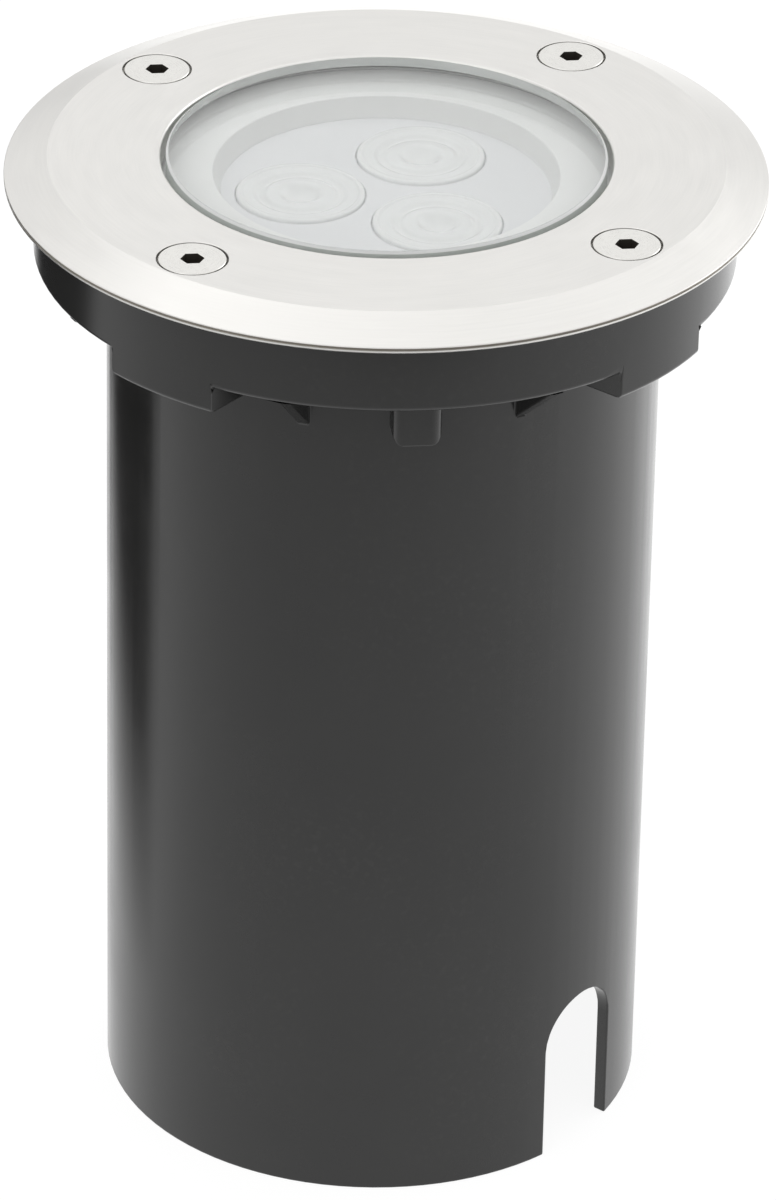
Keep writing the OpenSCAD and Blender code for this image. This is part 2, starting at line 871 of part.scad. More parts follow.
module sleeve() {
    color("darkslategray")
        difference() {
            union() {
                cylinder(r = sleeve_r, h = collar_z + over, $fn = 144);
                translate([0, 0, collar_z]) cylinder(r = collar_r, h = collar_h, $fn = 144);
                for (a = SCREW_ANGLES) lug(a);
                for (a = [0:90:270]) boss(a);
                for (a = [0:90:270], side = [-1, 1]) gusset(a + side * gusset_angle);
            }
            translate([0, 0, -over]) cylinder(r = sleeve_in_r, h = sleeve_h + 2 * over, $fn = 144);
            translate([0, 0, shoulder_z]) cylinder(r = pocket_r, h = flange_t + over, $fn = 144);
            for (a = SCREW_ANGLES) around(a, screw_r)
                translate([0, 0, shoulder_z - insert_len])
                    cylinder(r = insert_r + run_gap, h = insert_len + over);
            for (a = NOTCH_ANGLES) notch(a);
        }
}

module thread_inserts() {
    color("goldenrod")
        for (a = SCREW_ANGLES) around(a, screw_r)
            washer(insert_r, shank_r + run_gap, shoulder_z - insert_len, insert_len);
}

trim_ring();
cover_screw(0);  // cover_screw_1
cover_screw(1);  // cover_screw_2
cover_screw(2);  // cover_screw_3
cover_screw(3);  // cover_screw_4
screw_seal(0);  // screw_seal_1
screw_seal(1);  // screw_seal_2
screw_seal(2);  // screw_seal_3
screw_seal(3);  // screw_seal_4
window_glass();
top_gasket();
seat_gasket();
reflector_ring();
lens_plate();
lenses();
led_board();
led_emitters();
board_screws();
thermal_pad();
heat_sink();
sink_screws();
lamp_housing();
driver_tray();
driver_board();
driver_components();
driver_lid();
terminal_block();
led_leads();
mains_leads();
gland_body();
gland_o_ring();
gland_locknut();
gland_seal();
gland_nut();
sleeve();
thread_inserts();
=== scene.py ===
import json
from math import cos, pi, radians, sin, tan, tau

import bmesh
import bpy
from bpy.props import FloatProperty, FloatVectorProperty, IntProperty, PointerProperty
from mathutils import Matrix, Vector


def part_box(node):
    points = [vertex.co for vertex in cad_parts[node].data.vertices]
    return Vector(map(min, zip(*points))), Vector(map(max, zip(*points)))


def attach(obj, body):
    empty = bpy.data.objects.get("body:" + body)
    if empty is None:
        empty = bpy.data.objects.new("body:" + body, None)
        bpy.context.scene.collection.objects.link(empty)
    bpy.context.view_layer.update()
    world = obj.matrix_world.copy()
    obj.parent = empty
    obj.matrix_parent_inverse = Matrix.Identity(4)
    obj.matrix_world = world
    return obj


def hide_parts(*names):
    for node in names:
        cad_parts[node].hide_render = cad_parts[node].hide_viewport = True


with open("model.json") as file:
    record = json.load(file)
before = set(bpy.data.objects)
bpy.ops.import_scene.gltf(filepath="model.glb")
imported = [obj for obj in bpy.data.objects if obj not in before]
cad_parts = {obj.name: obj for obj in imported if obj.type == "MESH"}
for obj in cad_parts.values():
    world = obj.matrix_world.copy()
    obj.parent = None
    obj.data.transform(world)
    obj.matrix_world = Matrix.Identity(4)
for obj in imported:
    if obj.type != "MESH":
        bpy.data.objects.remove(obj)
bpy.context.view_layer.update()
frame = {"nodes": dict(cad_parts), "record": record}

bl_info = {
    "name": "Recessed garden light",
    "version": (1, 0, 0),
    "blender": (4, 5, 0),
    "location": "View3D > Sidebar > Light",
    "description": "Dresses the frame of a recessed garden light with detailed pieces and finishes",
    "category": "Object",
}

MM = 0.001
TINY = 1e-6


# Measures taken from the frame

def radii(node, height, centre=(0, 0), slack=0.02 * MM):
    """The different radii of a node's corners at one height, smallest first"""
    found = set()
    for vertex in frame["nodes"][node].data.vertices:
        if abs(vertex.co.z - height) < slack:
            reach = (vertex.co.xy - Vector(centre)).length
            found.add(round(reach, 6))
    return sorted(found)


def lowest_at(node, reach, centre=(0, 0), slack=0.01 * MM):
    """The height of a node's lowest corner at one distance from an upright axis"""
    return min(
        vertex.co.z for vertex in frame["nodes"][node].data.vertices
        if abs((vertex.co.xy - Vector(centre)).length - reach) < slack
    )


def solids(node):
    """The lowest and highest corner of each separate solid of a node, from left to right"""
    shape = bmesh.new()
    shape.from_mesh(frame["nodes"][node].data)
    bmesh.ops.remove_doubles(shape, verts=shape.verts, dist=TINY)
    boxes = []
    left = set(shape.verts)
    while left:
        reached = [left.pop()]
        for vertex in reached:
            for edge in vertex.link_edges:
                other = edge.other_vert(vertex)
                if other in left:
                    left.remove(other)
                    reached.append(other)
        low, high = (
            Vector([pick(vertex.co[axis] for vertex in reached) for axis in range(3)])
            for pick in (min, max)
        )
        boxes.append((low, high))
    shape.free()
    return sorted(boxes, key=lambda box: (round(box[0].x, 5), box[0].y))


# Mesh tools

def scene_object(name, mesh):
    piece = bpy.data.objects.new(name, mesh)
    bpy.context.scene.collection.objects.link(piece)
    return piece


def object_from(name, shape):
    """Makes an object of a mesh that is being built, and closes it"""
    mesh = bpy.data.meshes.new(name)
    shape.to_mesh(mesh)
    shape.free()
    return scene_object(name, mesh)


def settle(piece):
    """Applies a piece's modifiers"""
    graph = bpy.context.evaluated_depsgraph_get()
    mesh = bpy.data.meshes.new_from_object(piece.evaluated_get(graph))
    piece.modifiers.clear()
    worn = piece.data
    piece.data = mesh
    bpy.data.meshes.remove(worn)
    piece.data.name = piece.name
    return piece


def smooth(piece, sharp=22):
    """Shades a piece smooth, but keeps its edges crisp where faces meet at more than the sharp angle"""
    mesh = piece.data
    mesh.shade_smooth()
    mesh.set_sharp_from_angle(angle=radians(sharp))
    weigh = piece.modifiers.new("Weighted normals", "WEIGHTED_NORMAL")
    weigh.keep_sharp = True
    weigh.weight = 80
    return settle(piece)


def rounded_edges(piece, width, segments=2, angle=30, clamp=True):
    """Rounds a piece's sharp edges"""
    bevel = piece.modifiers.new("Rounding", "BEVEL")
    bevel.width = width
    bevel.segments = segments
    bevel.limit_method = "ANGLE"
    bevel.angle_limit = radians(angle)
    bevel.miter_outer = "MITER_ARC"
    bevel.use_clamp_overlap = clamp
    return settle(piece)


def copy_of(node, name, merge=TINY):
    """A copy of a CAD node with its flat faces whole and its closest corners merged"""
    mesh = frame["nodes"][node].data.copy()
    mesh.materials.clear()
    shape = bmesh.new()
    shape.from_mesh(mesh)
    bmesh.ops.remove_doubles(shape, verts=shape.verts, dist=merge)
    bmesh.ops.dissolve_limit(
        shape, angle_limit=radians(0.5), verts=shape.verts, edges=shape.edges
    )
    shape.to_mesh(mesh)
    shape.free()
    if "custom_normal" in mesh.attributes:
        mesh.attributes.remove(mesh.attributes["custom_normal"])
    return scene_object(name, mesh)


def softened(node, width, name=None):
    """A copy of a CAD node with its edges rounded"""
    piece = copy_of(node, name or node + "_dressed")
    rounded_edges(piece, width)
    return smooth(piece)


def rounded_corners(outline, radius, steps=3):
    """A closed outline of (radius, height) points with arcs at its corners; a third number is its arc"""
    made = []
    for index, point in enumerate(outline):
        here = Vector(point[:2])
        before = Vector(outline[index - 1][:2]) - here
        after = Vector(outline[(index + 1) % len(outline)][:2]) - here
        own = point[2] if len(point) > 2 else radius
        if own <= 0 or before.length < TINY or after.length < TINY:
            made.append(here)
            continue
        half = before.angle(after) / 2
        reach = min(own / tan(half), 0.45 * before.length, 0.45 * after.length)
        own = reach * tan(half)
        across = (before.normalized() + after.normalized()).normalized()
        centre = here + across * own / sin(half)
        first = here + before.normalized() * reach - centre
        last = here + after.normalized() * reach - centre
        sweep = first.angle(last)
        for step in range(steps + 1):
            share = step / steps
            arm = first * sin((1 - share) * sweep) + last * sin(share * sweep)
            made.append(centre + arm / sin(sweep))
    return made


def bridge(shape, ring, after):
    """Fills the band between two rings of corners; one of them can be a single corner"""
    count = max(len(ring), len(after))
    for place in range(count if count > 1 else 0):
        following = (place + 1) % count
        if len(ring) == 1:
            shape.faces.new((ring[0], after[place], after[following]))
        elif len(after) == 1:
            shape.faces.new((ring[place], after[0], ring[following]))
        else:
            shape.faces.new((ring[place], after[place], after[following], ring[following]))


def lathe(name, outline, segments, dip=None):
    """Turns a closed outline round Z; dip gives the depth of a cut at an angle and height"""
    shape = bmesh.new()
    rings = []
    for radius, height in outline:
        if radius < TINY:
            rings.append([shape.verts.new((0, 0, height))])
            continue
        ring = []
        for index in range(segments):
            angle = tau * index / segments
            reach = radius - (dip(angle, radius, height) if dip else 0)
            ring.append(shape.verts.new((reach * cos(angle), reach * sin(angle), height)))
        rings.append(ring)
    for index, ring in enumerate(rings):
        bridge(shape, ring, rings[(index + 1) % len(rings)])
    bmesh.ops.recalc_face_normals(shape, faces=shape.faces)
    return object_from(name, shape)


def thread_cut(pitch, depth, low, high, crest):
    """The depth of a right-hand thread's groove, at an angle, radius and height"""
    def dip(angle, radius, height):
        if radius < crest or not low < height < high:
            return 0
        phase = (height / pitch - angle / tau) % 1
        groove = min(1, max(0, 1.25 - 2.5 * abs(phase - 0.5)))
        fade = min(1, (height - low) / pitch, (high - height) / pitch)
        return depth * groove * fade
    return dip


def threaded_rows(radius, start, end, pitch, rows=8):
    """Points down a thread, close enough together to hold its form"""
    count = max(2, round(abs(end - start) / pitch * rows))
    return [(radius, start + (end - start) * index / count, 0) for index in range(count + 1)]


def corner_reach(across):
    """How far a hexagon's corners are from its middle, by its width across the flats"""
    return across / 2 / cos(pi / 6)


def hexagon_prism(name, across, low, high):
    """A hexagon prism by its width across the flats, with a corner on X"""
    shape = bmesh.new()
    reach = corner_reach(across)
    bmesh.ops.create_cone(
        shape, cap_ends=True, segments=6, radius1=reach, radius2=reach, depth=high - low,
        matrix=Matrix.Translation((0, 0, (low + high) / 2)) @ Matrix.Rotation(pi / 6, 4, "Z"),
    )
    return object_from(name, shape)


def turned_hexagon(name, across, low, high):
    """A hexagon prism whose corners are turned off at both ends"""
    corner = corner_reach(across) + TINY
    flat = across / 2 * 0.98
    drop = (corner - flat) * tan(pi / 6)
    turned = lathe("turned", [
        (0, low), (flat, low), (corner, low + drop), (corner, high - drop), (flat, high), (0, high),
    ], 72)
    return combine(hexagon_prism(name, across, low - TINY, high + TINY), turned, "INTERSECT")


def joined(name, pieces):
    """Joins pieces where they stand; each keeps its own material"""
    materials = []
    shape = bmesh.new()
    for piece in pieces:
        for material in piece.data.materials:
            if material not in materials:
                materials.append(material)
        own = [materials.index(material) for material in piece.data.materials] or [0]
        piece.data.transform(piece.matrix_basis)
        first = len(shape.faces)
        shape.from_mesh(piece.data)
        shape.faces.ensure_lookup_table()
        for face in shape.faces[first:]:
            face.material_index = own[face.material_index]
        bpy.data.objects.remove(piece)
    whole = object_from(name, shape)
    for material in materials:
        whole.data.materials.append(material)
    return whole


def block(name, low, high, width):
    """A box with rounded edges, between two corners"""
    shape = bmesh.new()
    middle_of = (low + high) / 2
    bmesh.ops.create_cube(shape, size=1, matrix=(
        Matrix.Translation(middle_of) @ Matrix.Diagonal((*(high - low), 1))
    ))
    return rounded_edges(object_from(name, shape), width)


def cable(name, points, radius):
    """A round wire along a line of points"""
    curve = bpy.data.curves.new(name, "CURVE")
    curve.dimensions = "3D"
    curve.bevel_depth = radius
    curve.bevel_resolution = 4
    curve.use_fill_caps = True
    line = curve.splines.new("POLY")
    line.points.add(len(points) - 1)
    for held, point in zip(line.points, points):
        held.co = (*point, 1)
    holder = scene_object(name, curve)
    mesh = bpy.data.meshes.new_from_object(holder)
    mesh.name = name
    bpy.data.objects.remove(holder)
    return scene_object(name, mesh)


def wound_ring(name, centre, reach, half_width, half_height, turns, sides=16):
    """A ring wrapped in turns of wire"""
    shape = bmesh.new()
    count = turns * 6
    rings = []
    for index in range(count):
        angle = tau * index / count
        swell = 1 - 0.14 * abs(cos(turns * angle / 2))
        ring = []
        for side in range(sides):
            bend = tau * side / sides
            out = reach + half_width * swell * cos(bend)
            ring.append(shape.verts.new(centre + Vector((
                out * cos(angle), out * sin(angle), half_height * swell * sin(bend),
            ))))
        rings.append(ring)
    for index, ring in enumerate(rings):
        bridge(shape, ring, rings[(index + 1) % count])
    bmesh.ops.recalc_face_normals(shape, faces=shape.faces)
    return object_from(name, shape)


def painted(piece, slot):
    """Gives a part of a piece its own finish"""
    piece.data.materials.append(finish(slot))
    return piece


def combine(piece, tool, operation):
    """Joins a tool to a piece, cuts it away, or keeps what both share; the tool is used up"""
    change = piece.modifiers.new("Shape", "BOOLEAN")
    change.operation = operation
    change.object = tool
    change.solver = "EXACT"
    settle(piece)
    bpy.data.objects.remove(tool)
    return piece


def bored(piece, radius, low, high):
    """Drills a piece along Z, with a small chamfer at both ends"""
    chamfer = 0.3 * MM
    drill = lathe("drill", [
        (0, low - MM), (radius + chamfer + MM, low - MM), (radius, low + chamfer),
        (radius, high - chamfer), (radius + chamfer + MM, high + MM), (0, high + MM),
    ], 96)
    return combine(piece, drill, "DIFFERENCE")


def place(piece, body, slot, *nodes):
    """Gives a piece its body, its finish and the CAD nodes that it stands for"""
    if not piece.data.materials:
        piece.data.materials.append(finish(slot))
    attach(piece, body)
    if nodes:
        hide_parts(*nodes)
    return piece


def coat(piece, material, inside):
    """Gives another material to the faces whose centre and normal pass a test"""
    piece.data.materials.append(material)
    for face in piece.data.polygons:
        if inside(face.center, face.normal):
            face.material_index = len(piece.data.materials) - 1


def place_softened(node, width, body="lamp"):
    """Puts a copy of a CAD node with rounded edges in its place, with the finish that the record gives it"""
    place(softened(node, width), body, slot_of(node), node)


def dress(node):
    """Gives a CAD node whose shape is right its finish"""
    for holder in frame["nodes"][node].material_slots:
        holder.material = finish(slot_of(node))


def slot_of(node):
    for row in frame["record"]["subparts"]:
        if row["node"] == node:
            return row["material_slot"]
    raise RuntimeError(f"no finish is given for {node}")


# Shader tools

def put(tree, kind, inputs=None, **settings):
    """Adds a node, with its settings, and values or links for its inputs"""
    made = tree.nodes.new("ShaderNode" + kind)
    for name, value in settings.items():
        setattr(made, name, value)
    for key, value in (inputs or {}).items():
        if isinstance(value, bpy.types.NodeSocket):
            tree.links.new(value, made.inputs[key])
        else:
            made.inputs[key].default_value = value
    return made


def calc(tree, operation, *values, clamp=False):
    made = put(tree, "Math", dict(enumerate(values)), operation=operation, use_clamp=clamp)
    return made.outputs[0]


def vector_calc(tree, operation, *values, **more):
    made = put(tree, "VectorMath", {**dict(enumerate(values)), **more}, operation=operation)
    return made.outputs["Value" if operation == "LENGTH" else "Vector"]


def noise(tree, where, scale, detail, **more):
    made = put(tree, "TexNoise", {"Vector": where, "Scale": scale, "Detail": detail, **more})
    return made.outputs["Fac"]


def spread(tree, value, low, high, to_low, to_high):
    """Stretches a value from one span to another"""
    made = put(tree, "MapRange", {
        "Value": value, "From Min": low, "From Max": high, "To Min": to_low, "To Max": to_high,
    })
    return made.outputs["Result"]


def mix_colours(tree, share, first, second):
    made = put(tree, "Mix", {0: share, 6: first, 7: second}, data_type="RGBA")
    return made.outputs[2]


def rgba(colour, gain=1.0):
    return tuple(min(1.0, channel * gain) for channel in colour[:3]) + (1.0,)


def effect(name, inputs, outputs, build):
    """A shader group, built once. Inputs are (name, default), outputs are names"""
    if name in bpy.data.node_groups:
        return bpy.data.node_groups[name]
    tree = bpy.data.node_groups.new(name, "ShaderNodeTree")
    for label, default in inputs:
        kind = "NodeSocketVector" if isinstance(default, tuple) else "NodeSocketFloat"
        socket = tree.interface.new_socket(label, in_out="INPUT", socket_type=kind)
        socket.default_value = default
    for label in outputs:
        tree.interface.new_socket(label, in_out="OUTPUT", socket_type="NodeSocketFloat")
    entry = tree.nodes.new("NodeGroupInput")
    leave = tree.nodes.new("NodeGroupOutput")
    for label, socket in build(tree, entry.outputs).items():
        tree.links.new(socket, leave.inputs[label])
    return tree


def moulded_grain():
    """The fine grain of a mould, with a slow mottle over it"""
    def build(tree, given):
        where = put(tree, "TexCoord").outputs["Object"]
        grain = noise(tree, where, given["Grain"], 3.0)
        pits = put(tree, "TexVoronoi", {"Vector": where, "Scale": given["Grain"]})
        slow = noise(tree, where, given["Mottle"], 4.0, Roughness=0.6)
        height = calc(tree, "MULTIPLY_ADD", pits.outputs["Distance"], 0.5, grain)
        return {"Height": height, "Mottle": spread(tree, slow, 0.35, 0.65, 0.0, 1.0)}
    inputs = [("Grain", 2500.0), ("Mottle", 40.0)]
    return effect("Moulded grain", inputs, ["Height", "Mottle"], build)


def turned_marks():
    """Fine marks that run round the Z axis, as brushing or turning leaves them"""
    def build(tree, given):
        where = put(tree, "TexCoord").outputs["Object"]
        flat = vector_calc(tree, "MULTIPLY", where, (1, 1, 0))
        reach = vector_calc(tree, "LENGTH", flat)
        round_the_axis = vector_calc(tree, "NORMALIZE", flat)
        along = vector_calc(tree, "SCALE", round_the_axis, Scale=given["Breaks"])
        across = calc(tree, "MULTIPLY", reach, given["Lines"])
        depth = calc(tree, "MULTIPLY", put(tree, "SeparateXYZ", {0: where}).outputs["Z"], given["Lines"])
        lift = put(tree, "CombineXYZ", {"Z": calc(tree, "ADD", across, depth)}).outputs[0]
        fine = noise(tree, vector_calc(tree, "ADD", along, lift), 1.0, 2.0)
        slow_lift = vector_calc(tree, "SCALE", lift, Scale=0.13)
        coarse = noise(tree, vector_calc(tree, "ADD", along, slow_lift), 1.0, 3.0)
        both = calc(tree, "MULTIPLY_ADD", coarse, 0.6, fine)
        return {"Height": both, "Tone": spread(tree, both, 0.55, 1.05, 0.0, 1.0)}
    inputs = [("Lines", 6000.0), ("Breaks", 6.0)]
    return effect("Turned marks", inputs, ["Height", "Tone"], build)


def edge_wear():
    """A mask of the convex edges, broken up by noise"""
    def build(tree, given):
        where = put(tree, "TexCoord").outputs["Object"]
        sharp = put(tree, "NewGeometry").outputs["Pointiness"]
        patchy = noise(tree, where, given["Patches"], 4.0)
        edge = spread(tree, sharp, 0.52, 0.62, 0.0, 1.0)
        broken = spread(tree, patchy, 0.35, 0.7, 0.2, 1.0)
        worn = calc(tree, "MULTIPLY", edge, broken)
        return {"Mask": calc(tree, "MULTIPLY", worn, given["Amount"], clamp=True)}
    return effect("Edge wear", [("Amount", 0.5), ("Patches", 220.0)], ["Mask"], build)


def fine_dust():
    """A mask of thin dust and faint handling marks, most of it on surfaces that face up"""
    def build(tree, given):
        where = put(tree, "TexCoord").outputs["Object"]
        facing = put(tree, "SeparateXYZ", {0: put(tree, "NewGeometry").outputs["Normal"]}).outputs["Z"]
        upward = spread(tree, facing, -0.2, 1.0, 0.25, 1.0)
        specks = noise(tree, where, given["Specks"], 5.0)
        clouds = noise(tree, where, given["Clouds"], 3.0)
        thin = spread(tree, specks, 0.52, 0.75, 0.0, 1.0)
        patch = spread(tree, clouds, 0.42, 0.68, 0.0, 1.0)
        dust = calc(tree, "MULTIPLY", calc(tree, "MULTIPLY", thin, patch), upward)
        return {"Mask": calc(tree, "MULTIPLY", dust, given["Amount"], clamp=True)}
    inputs = [("Amount", 0.3), ("Specks", 900.0), ("Clouds", 35.0)]
    return effect("Fine dust", inputs, ["Mask"], build)


def add_effect(tree, group, **inputs):
    made = put(tree, "Group", node_tree=group)
    for name, value in inputs.items():
        made.inputs[name].default_value = value
    return made.outputs


def surface(name, colour, roughness, metallic=0.0, ior=1.5):
    """A new material with its constants on its Principled shader"""
    material = bpy.data.materials.new(name)
    material.use_nodes = True
    shader = material.node_tree.nodes["Principled BSDF"]
    shader.inputs["Base Color"].default_value = rgba(colour)
    shader.inputs["Roughness"].default_value = roughness
    shader.inputs["Metallic"].default_value = metallic
    shader.inputs["IOR"].default_value = ior
    return material, material.node_tree, shader


def bump(tree, shader, height, distance):
    made = put(tree, "Bump", {"Height": height, "Distance": distance})
    tree.links.new(made.outputs["Normal"], shader.inputs["Normal"])


def feed(tree, shader, name, socket):
    tree.links.new(socket, shader.inputs[name])


# Finishes

def moulded(name, colour, roughness, grain, relief=0.006 * MM, variety=0.06, wear=0.0, dust=0.0):
    """Moulded plastic or rubber: grain, slow mottle, rubbed edges and a little dust"""
    material, tree, shader = surface(name, colour, roughness)
    marks = add_effect(tree, moulded_grain(), Grain=grain)
    tone = mix_colours(tree, marks["Mottle"], rgba(colour, 1 - variety), rgba(colour, 1 + variety))
    if wear:
        rubbed = add_effect(tree, edge_wear(), Amount=wear)
        tone = mix_colours(tree, rubbed["Mask"], tone, rgba([min(1, c * 1.3 + 0.03) for c in colour]))
    if dust:
        dusty = add_effect(tree, fine_dust(), Amount=dust)
        tone = mix_colours(tree, dusty["Mask"], tone, (0.45, 0.43, 0.40, 1))
    feed(tree, shader, "Base Color", tone)
    feed(tree, shader, "Roughness", spread(tree, marks["Mottle"], 0, 1, roughness - 0.03, roughness + 0.03))
    bump(tree, shader, marks["Height"], relief)
    return material


def turned_metal(name, colour, roughness, contrast, lines, breaks):
    """Bare metal with marks round its axis and rubbed edges"""
    relief = 0.002 * MM
    wear = 0.2
    material, tree, shader = surface(name, colour, roughness, metallic=1.0)
    marks = add_effect(tree, turned_marks(), Lines=lines, Breaks=breaks)
    tone = mix_colours(tree, marks["Tone"], rgba(colour, 1 - contrast), rgba(colour, 1 + contrast))
    rubbed = add_effect(tree, edge_wear(), Amount=wear)
    tone = mix_colours(tree, rubbed["Mask"], tone, rgba(colour, 1.12))
    feed(tree, shader, "Base Color", tone)
    feed(tree, shader, "Roughness", spread(tree, marks["Tone"], 0, 1, roughness - 0.05, roughness + 0.05))
    bump(tree, shader, marks["Height"], relief)
    return material


def clear(name, colour, roughness, ior, see_through):
    """Clear glass or acrylic, which lets light through to what it covers"""
    material, tree, shader = surface(name, colour, roughness, ior=ior)
    shader.inputs["Transmission Weight"].default_value = see_through
    where = put(tree, "TexCoord").outputs["Object"]
    haze = noise(tree, where, 60.0, 4.0)
    feed(tree, shader, "Roughness", spread(tree, haze, 0.3, 0.7, roughness * 0.8, roughness * 1.2))
    feed(tree, shader, "Base Color", mix_colours(tree, haze, rgba(colour, 0.995), rgba(colour, 1.005)))
    pass_light = put(tree, "MixShader", {
        0: put(tree, "LightPath").outputs["Is Shadow Ray"],
        1: shader.outputs["BSDF"],
        2: put(tree, "BsdfTransparent").outputs["BSDF"],
    })
    output = tree.nodes["Material Output"]
    tree.links.new(pass_light.outputs["Shader"], output.inputs["Surface"])
    return material


def painted_casting(name, colour, roughness):
    """Powder coat on a casting: an orange-peel skin with rubbed edges"""
    material, tree, shader = surface(name, colour, roughness)
    where = put(tree, "TexCoord").outputs["Object"]
    skin = noise(tree, where, 900.0, 2.0)
    marks = add_effect(tree, moulded_grain(), Grain=3500.0, Mottle=30.0)
    rubbed = add_effect(tree, edge_wear(), Amount=0.35)
    tone = mix_colours(tree, marks["Mottle"], rgba(colour, 0.9), rgba(colour, 1.12))
    tone = mix_colours(tree, rubbed["Mask"], tone, (0.22, 0.22, 0.22, 1))
    feed(tree, shader, "Base Color", tone)
    feed(tree, shader, "Roughness", spread(tree, marks["Mottle"], 0, 1, roughness - 0.04, roughness + 0.05))
    height = calc(tree, "MULTIPLY_ADD", marks["Height"], 0.15, skin)
    bump(tree, shader, height, 0.02 * MM)
    return material


def printed_board(name, colour, roughness, track):
    """Solder mask with the faint relief of its tracks"""
    material, tree, shader = surface(name, colour, roughness)
    where = put(tree, "TexCoord").outputs["Object"]
    tracks = put(tree, "TexBrick", {
        "Vector": where, "Scale": 220.0, "Mortar Size": 0.03, "Color1": (0, 0, 0, 1),
        "Color2": (0.2, 0.2, 0.2, 1), "Mortar": (1, 1, 1, 1),
    })
    marks = add_effect(tree, moulded_grain(), Grain=1800.0)
    tone = mix_colours(tree, tracks.outputs["Color"], rgba(colour), rgba(track))
    tone = mix_colours(tree, calc(tree, "MULTIPLY", marks["Mottle"], 0.15), tone, rgba(colour, 0.8))
    feed(tree, shader, "Base Color", tone)
    bump(tree, shader, tracks.outputs["Color"], 0.03 * MM)
    return material


def phosphor(name, colour):
    """The phosphor face and clear dome of an LED"""
    material, tree, shader = surface(name, colour, 0.25)
    marks = add_effect(tree, moulded_grain(), Grain=5000.0, Mottle=300.0)
    feed(tree, shader, "Base Color", mix_colours(
        tree, marks["Mottle"], rgba(colour, 0.95), rgba(colour, 1.05)
    ))
    bump(tree, shader, marks["Height"], 0.004 * MM)
    shader.inputs["Coat Weight"].default_value = 0.6
    shader.inputs["Coat Roughness"].default_value = 0.05
    return material


def finish(slot):
    """The material of a slot, made when it is first asked for"""
    name = slot + "_finish"
    if name not in bpy.data.materials:
        make_finish(slot, name)
    return bpy.data.materials[name]


def make_finish(slot, name):
    colours = bpy.context.scene.light_colours
    metals = {
        "brushed_stainless": (colours.steel, 0.34, 0.025, 5200.0, 5.0),
        "screw_steel": (colours.screw, 0.30, 0.03, 9000.0, 3.0),
        # dark steel for the back of the rim line: painted shade in the groove
        "rim_line": ((0.26, 0.24, 0.21), 0.45, 0.1, 6000.0, 6.0),
        "sink_aluminium": ((0.70, 0.71, 0.72), 0.38, 0.08, 2500.0, 6.0),
        "insert_brass": ((0.72, 0.55, 0.24), 0.28, 0.08, 4000.0, 6.0),
        "zinc_screws": ((0.72, 0.73, 0.74), 0.25, 0.05, 5000.0, 6.0),
    }
    clear_pieces = {
        "clear_glass": (colours.glass, 0.04, 1.5, 1.0),
        "ground_edge": ((0.72, 0.76, 0.73), 0.5, 1.5, 0.5),
        # ground glass for the chamfer, lighter than the edge: real ground finish and partly a painted
        # highlight
        "ground_chamfer": ((0.96, 0.97, 0.965), 0.4, 1.5, 0.35),
        "lens_acrylic": (colours.lens, 0.08, 1.49, 0.1),
    }
    mouldings = {
        # a darker copy of the white plastic for the reflector's inner cone: painted shade
        "inner_cone": ((0.83, 0.83, 0.82), 0.5, 3000.0, 0.002 * MM, 0.012),
        "socket_shade": ((0.035, 0.030, 0.024), 0.5, 4000.0, 0.006 * MM, 0.3),
        "sleeve_plastic": (colours.sleeve, 0.20, 3800.0, 0.0012 * MM, 0.12, 0.25, 0.05),
        "white_plastic": (colours.reflector, 0.45, 3000.0, 0.002 * MM, 0.012),
        "lens_plate_plastic": (colours.lens_plate, 0.42, 2600.0, 0.001 * MM, 0.004),
    }
    for made, rows in ((turned_metal, metals), (clear, clear_pieces), (moulded, mouldings)):
        if slot in rows:
            return made(name, *rows[slot])
    if slot == "housing_aluminium":
        return painted_casting(name, (0.035, 0.036, 0.038), 0.42)
    if slot == "white_board":
        return printed_board(name, (0.85, 0.85, 0.84), 0.35, (0.78, 0.78, 0.77))
    if slot == "green_board":
        return printed_board(name, (0.03, 0.18, 0.08), 0.3, (0.05, 0.30, 0.13))
    if slot == "led_phosphor":
        return phosphor(name, colours.emitter)
    plain = {
        "black_rubber": ((0.022, 0.022, 0.022), 0.6, 1800.0),
        "grey_rubber": ((0.16, 0.165, 0.165), 0.62, 1800.0),
        "white_silicone": ((0.56, 0.56, 0.55), 0.5, 1500.0),
        "thermal_pad": ((0.45, 0.52, 0.60), 0.7, 1200.0),
        "grey_plastic": ((0.20, 0.20, 0.21), 0.5, 2500.0),
        "component_case": ((0.66, 0.50, 0.12), 0.35, 1600.0),
        "capacitor_sleeve": ((0.03, 0.035, 0.05), 0.3, 1600.0),
        "ferrite": ((0.05, 0.05, 0.052), 0.55, 2200.0),
        "choke_winding": ((0.45, 0.17, 0.06), 0.3, 1200.0),
        "led_ceramic": ((0.80, 0.78, 0.72), 0.4, 3000.0),
        "ivory_plastic": ((0.82, 0.79, 0.70), 0.42, 2500.0),
        "red_insulation": ((0.60, 0.06, 0.05), 0.38, 2000.0),
        "brown_insulation": ((0.30, 0.13, 0.06), 0.38, 2000.0),
        "gland_nylon": ((0.022, 0.022, 0.023), 0.4, 2600.0),
    }
    colour, roughness, grain = plain[slot]
    return moulded(name, colour, roughness, grain=grain, wear=0.2)


# What a user would change

def size_setting(name, description, default, least=0.0):
    return FloatProperty(
        name=name, description=description, default=default, min=least, unit="LENGTH", precision=5
    )


def number_setting(name, description, default, **more):
    return FloatProperty(name=name, description=description, default=default, **more)


def angle_setting(name, description, degrees):
    return number_setting(name, description, radians(degrees), subtype="ANGLE")


def colour_setting(name, description, default):
    return FloatVectorProperty(
        name=name, description=description, default=default, subtype="COLOR", min=0, max=1
    )


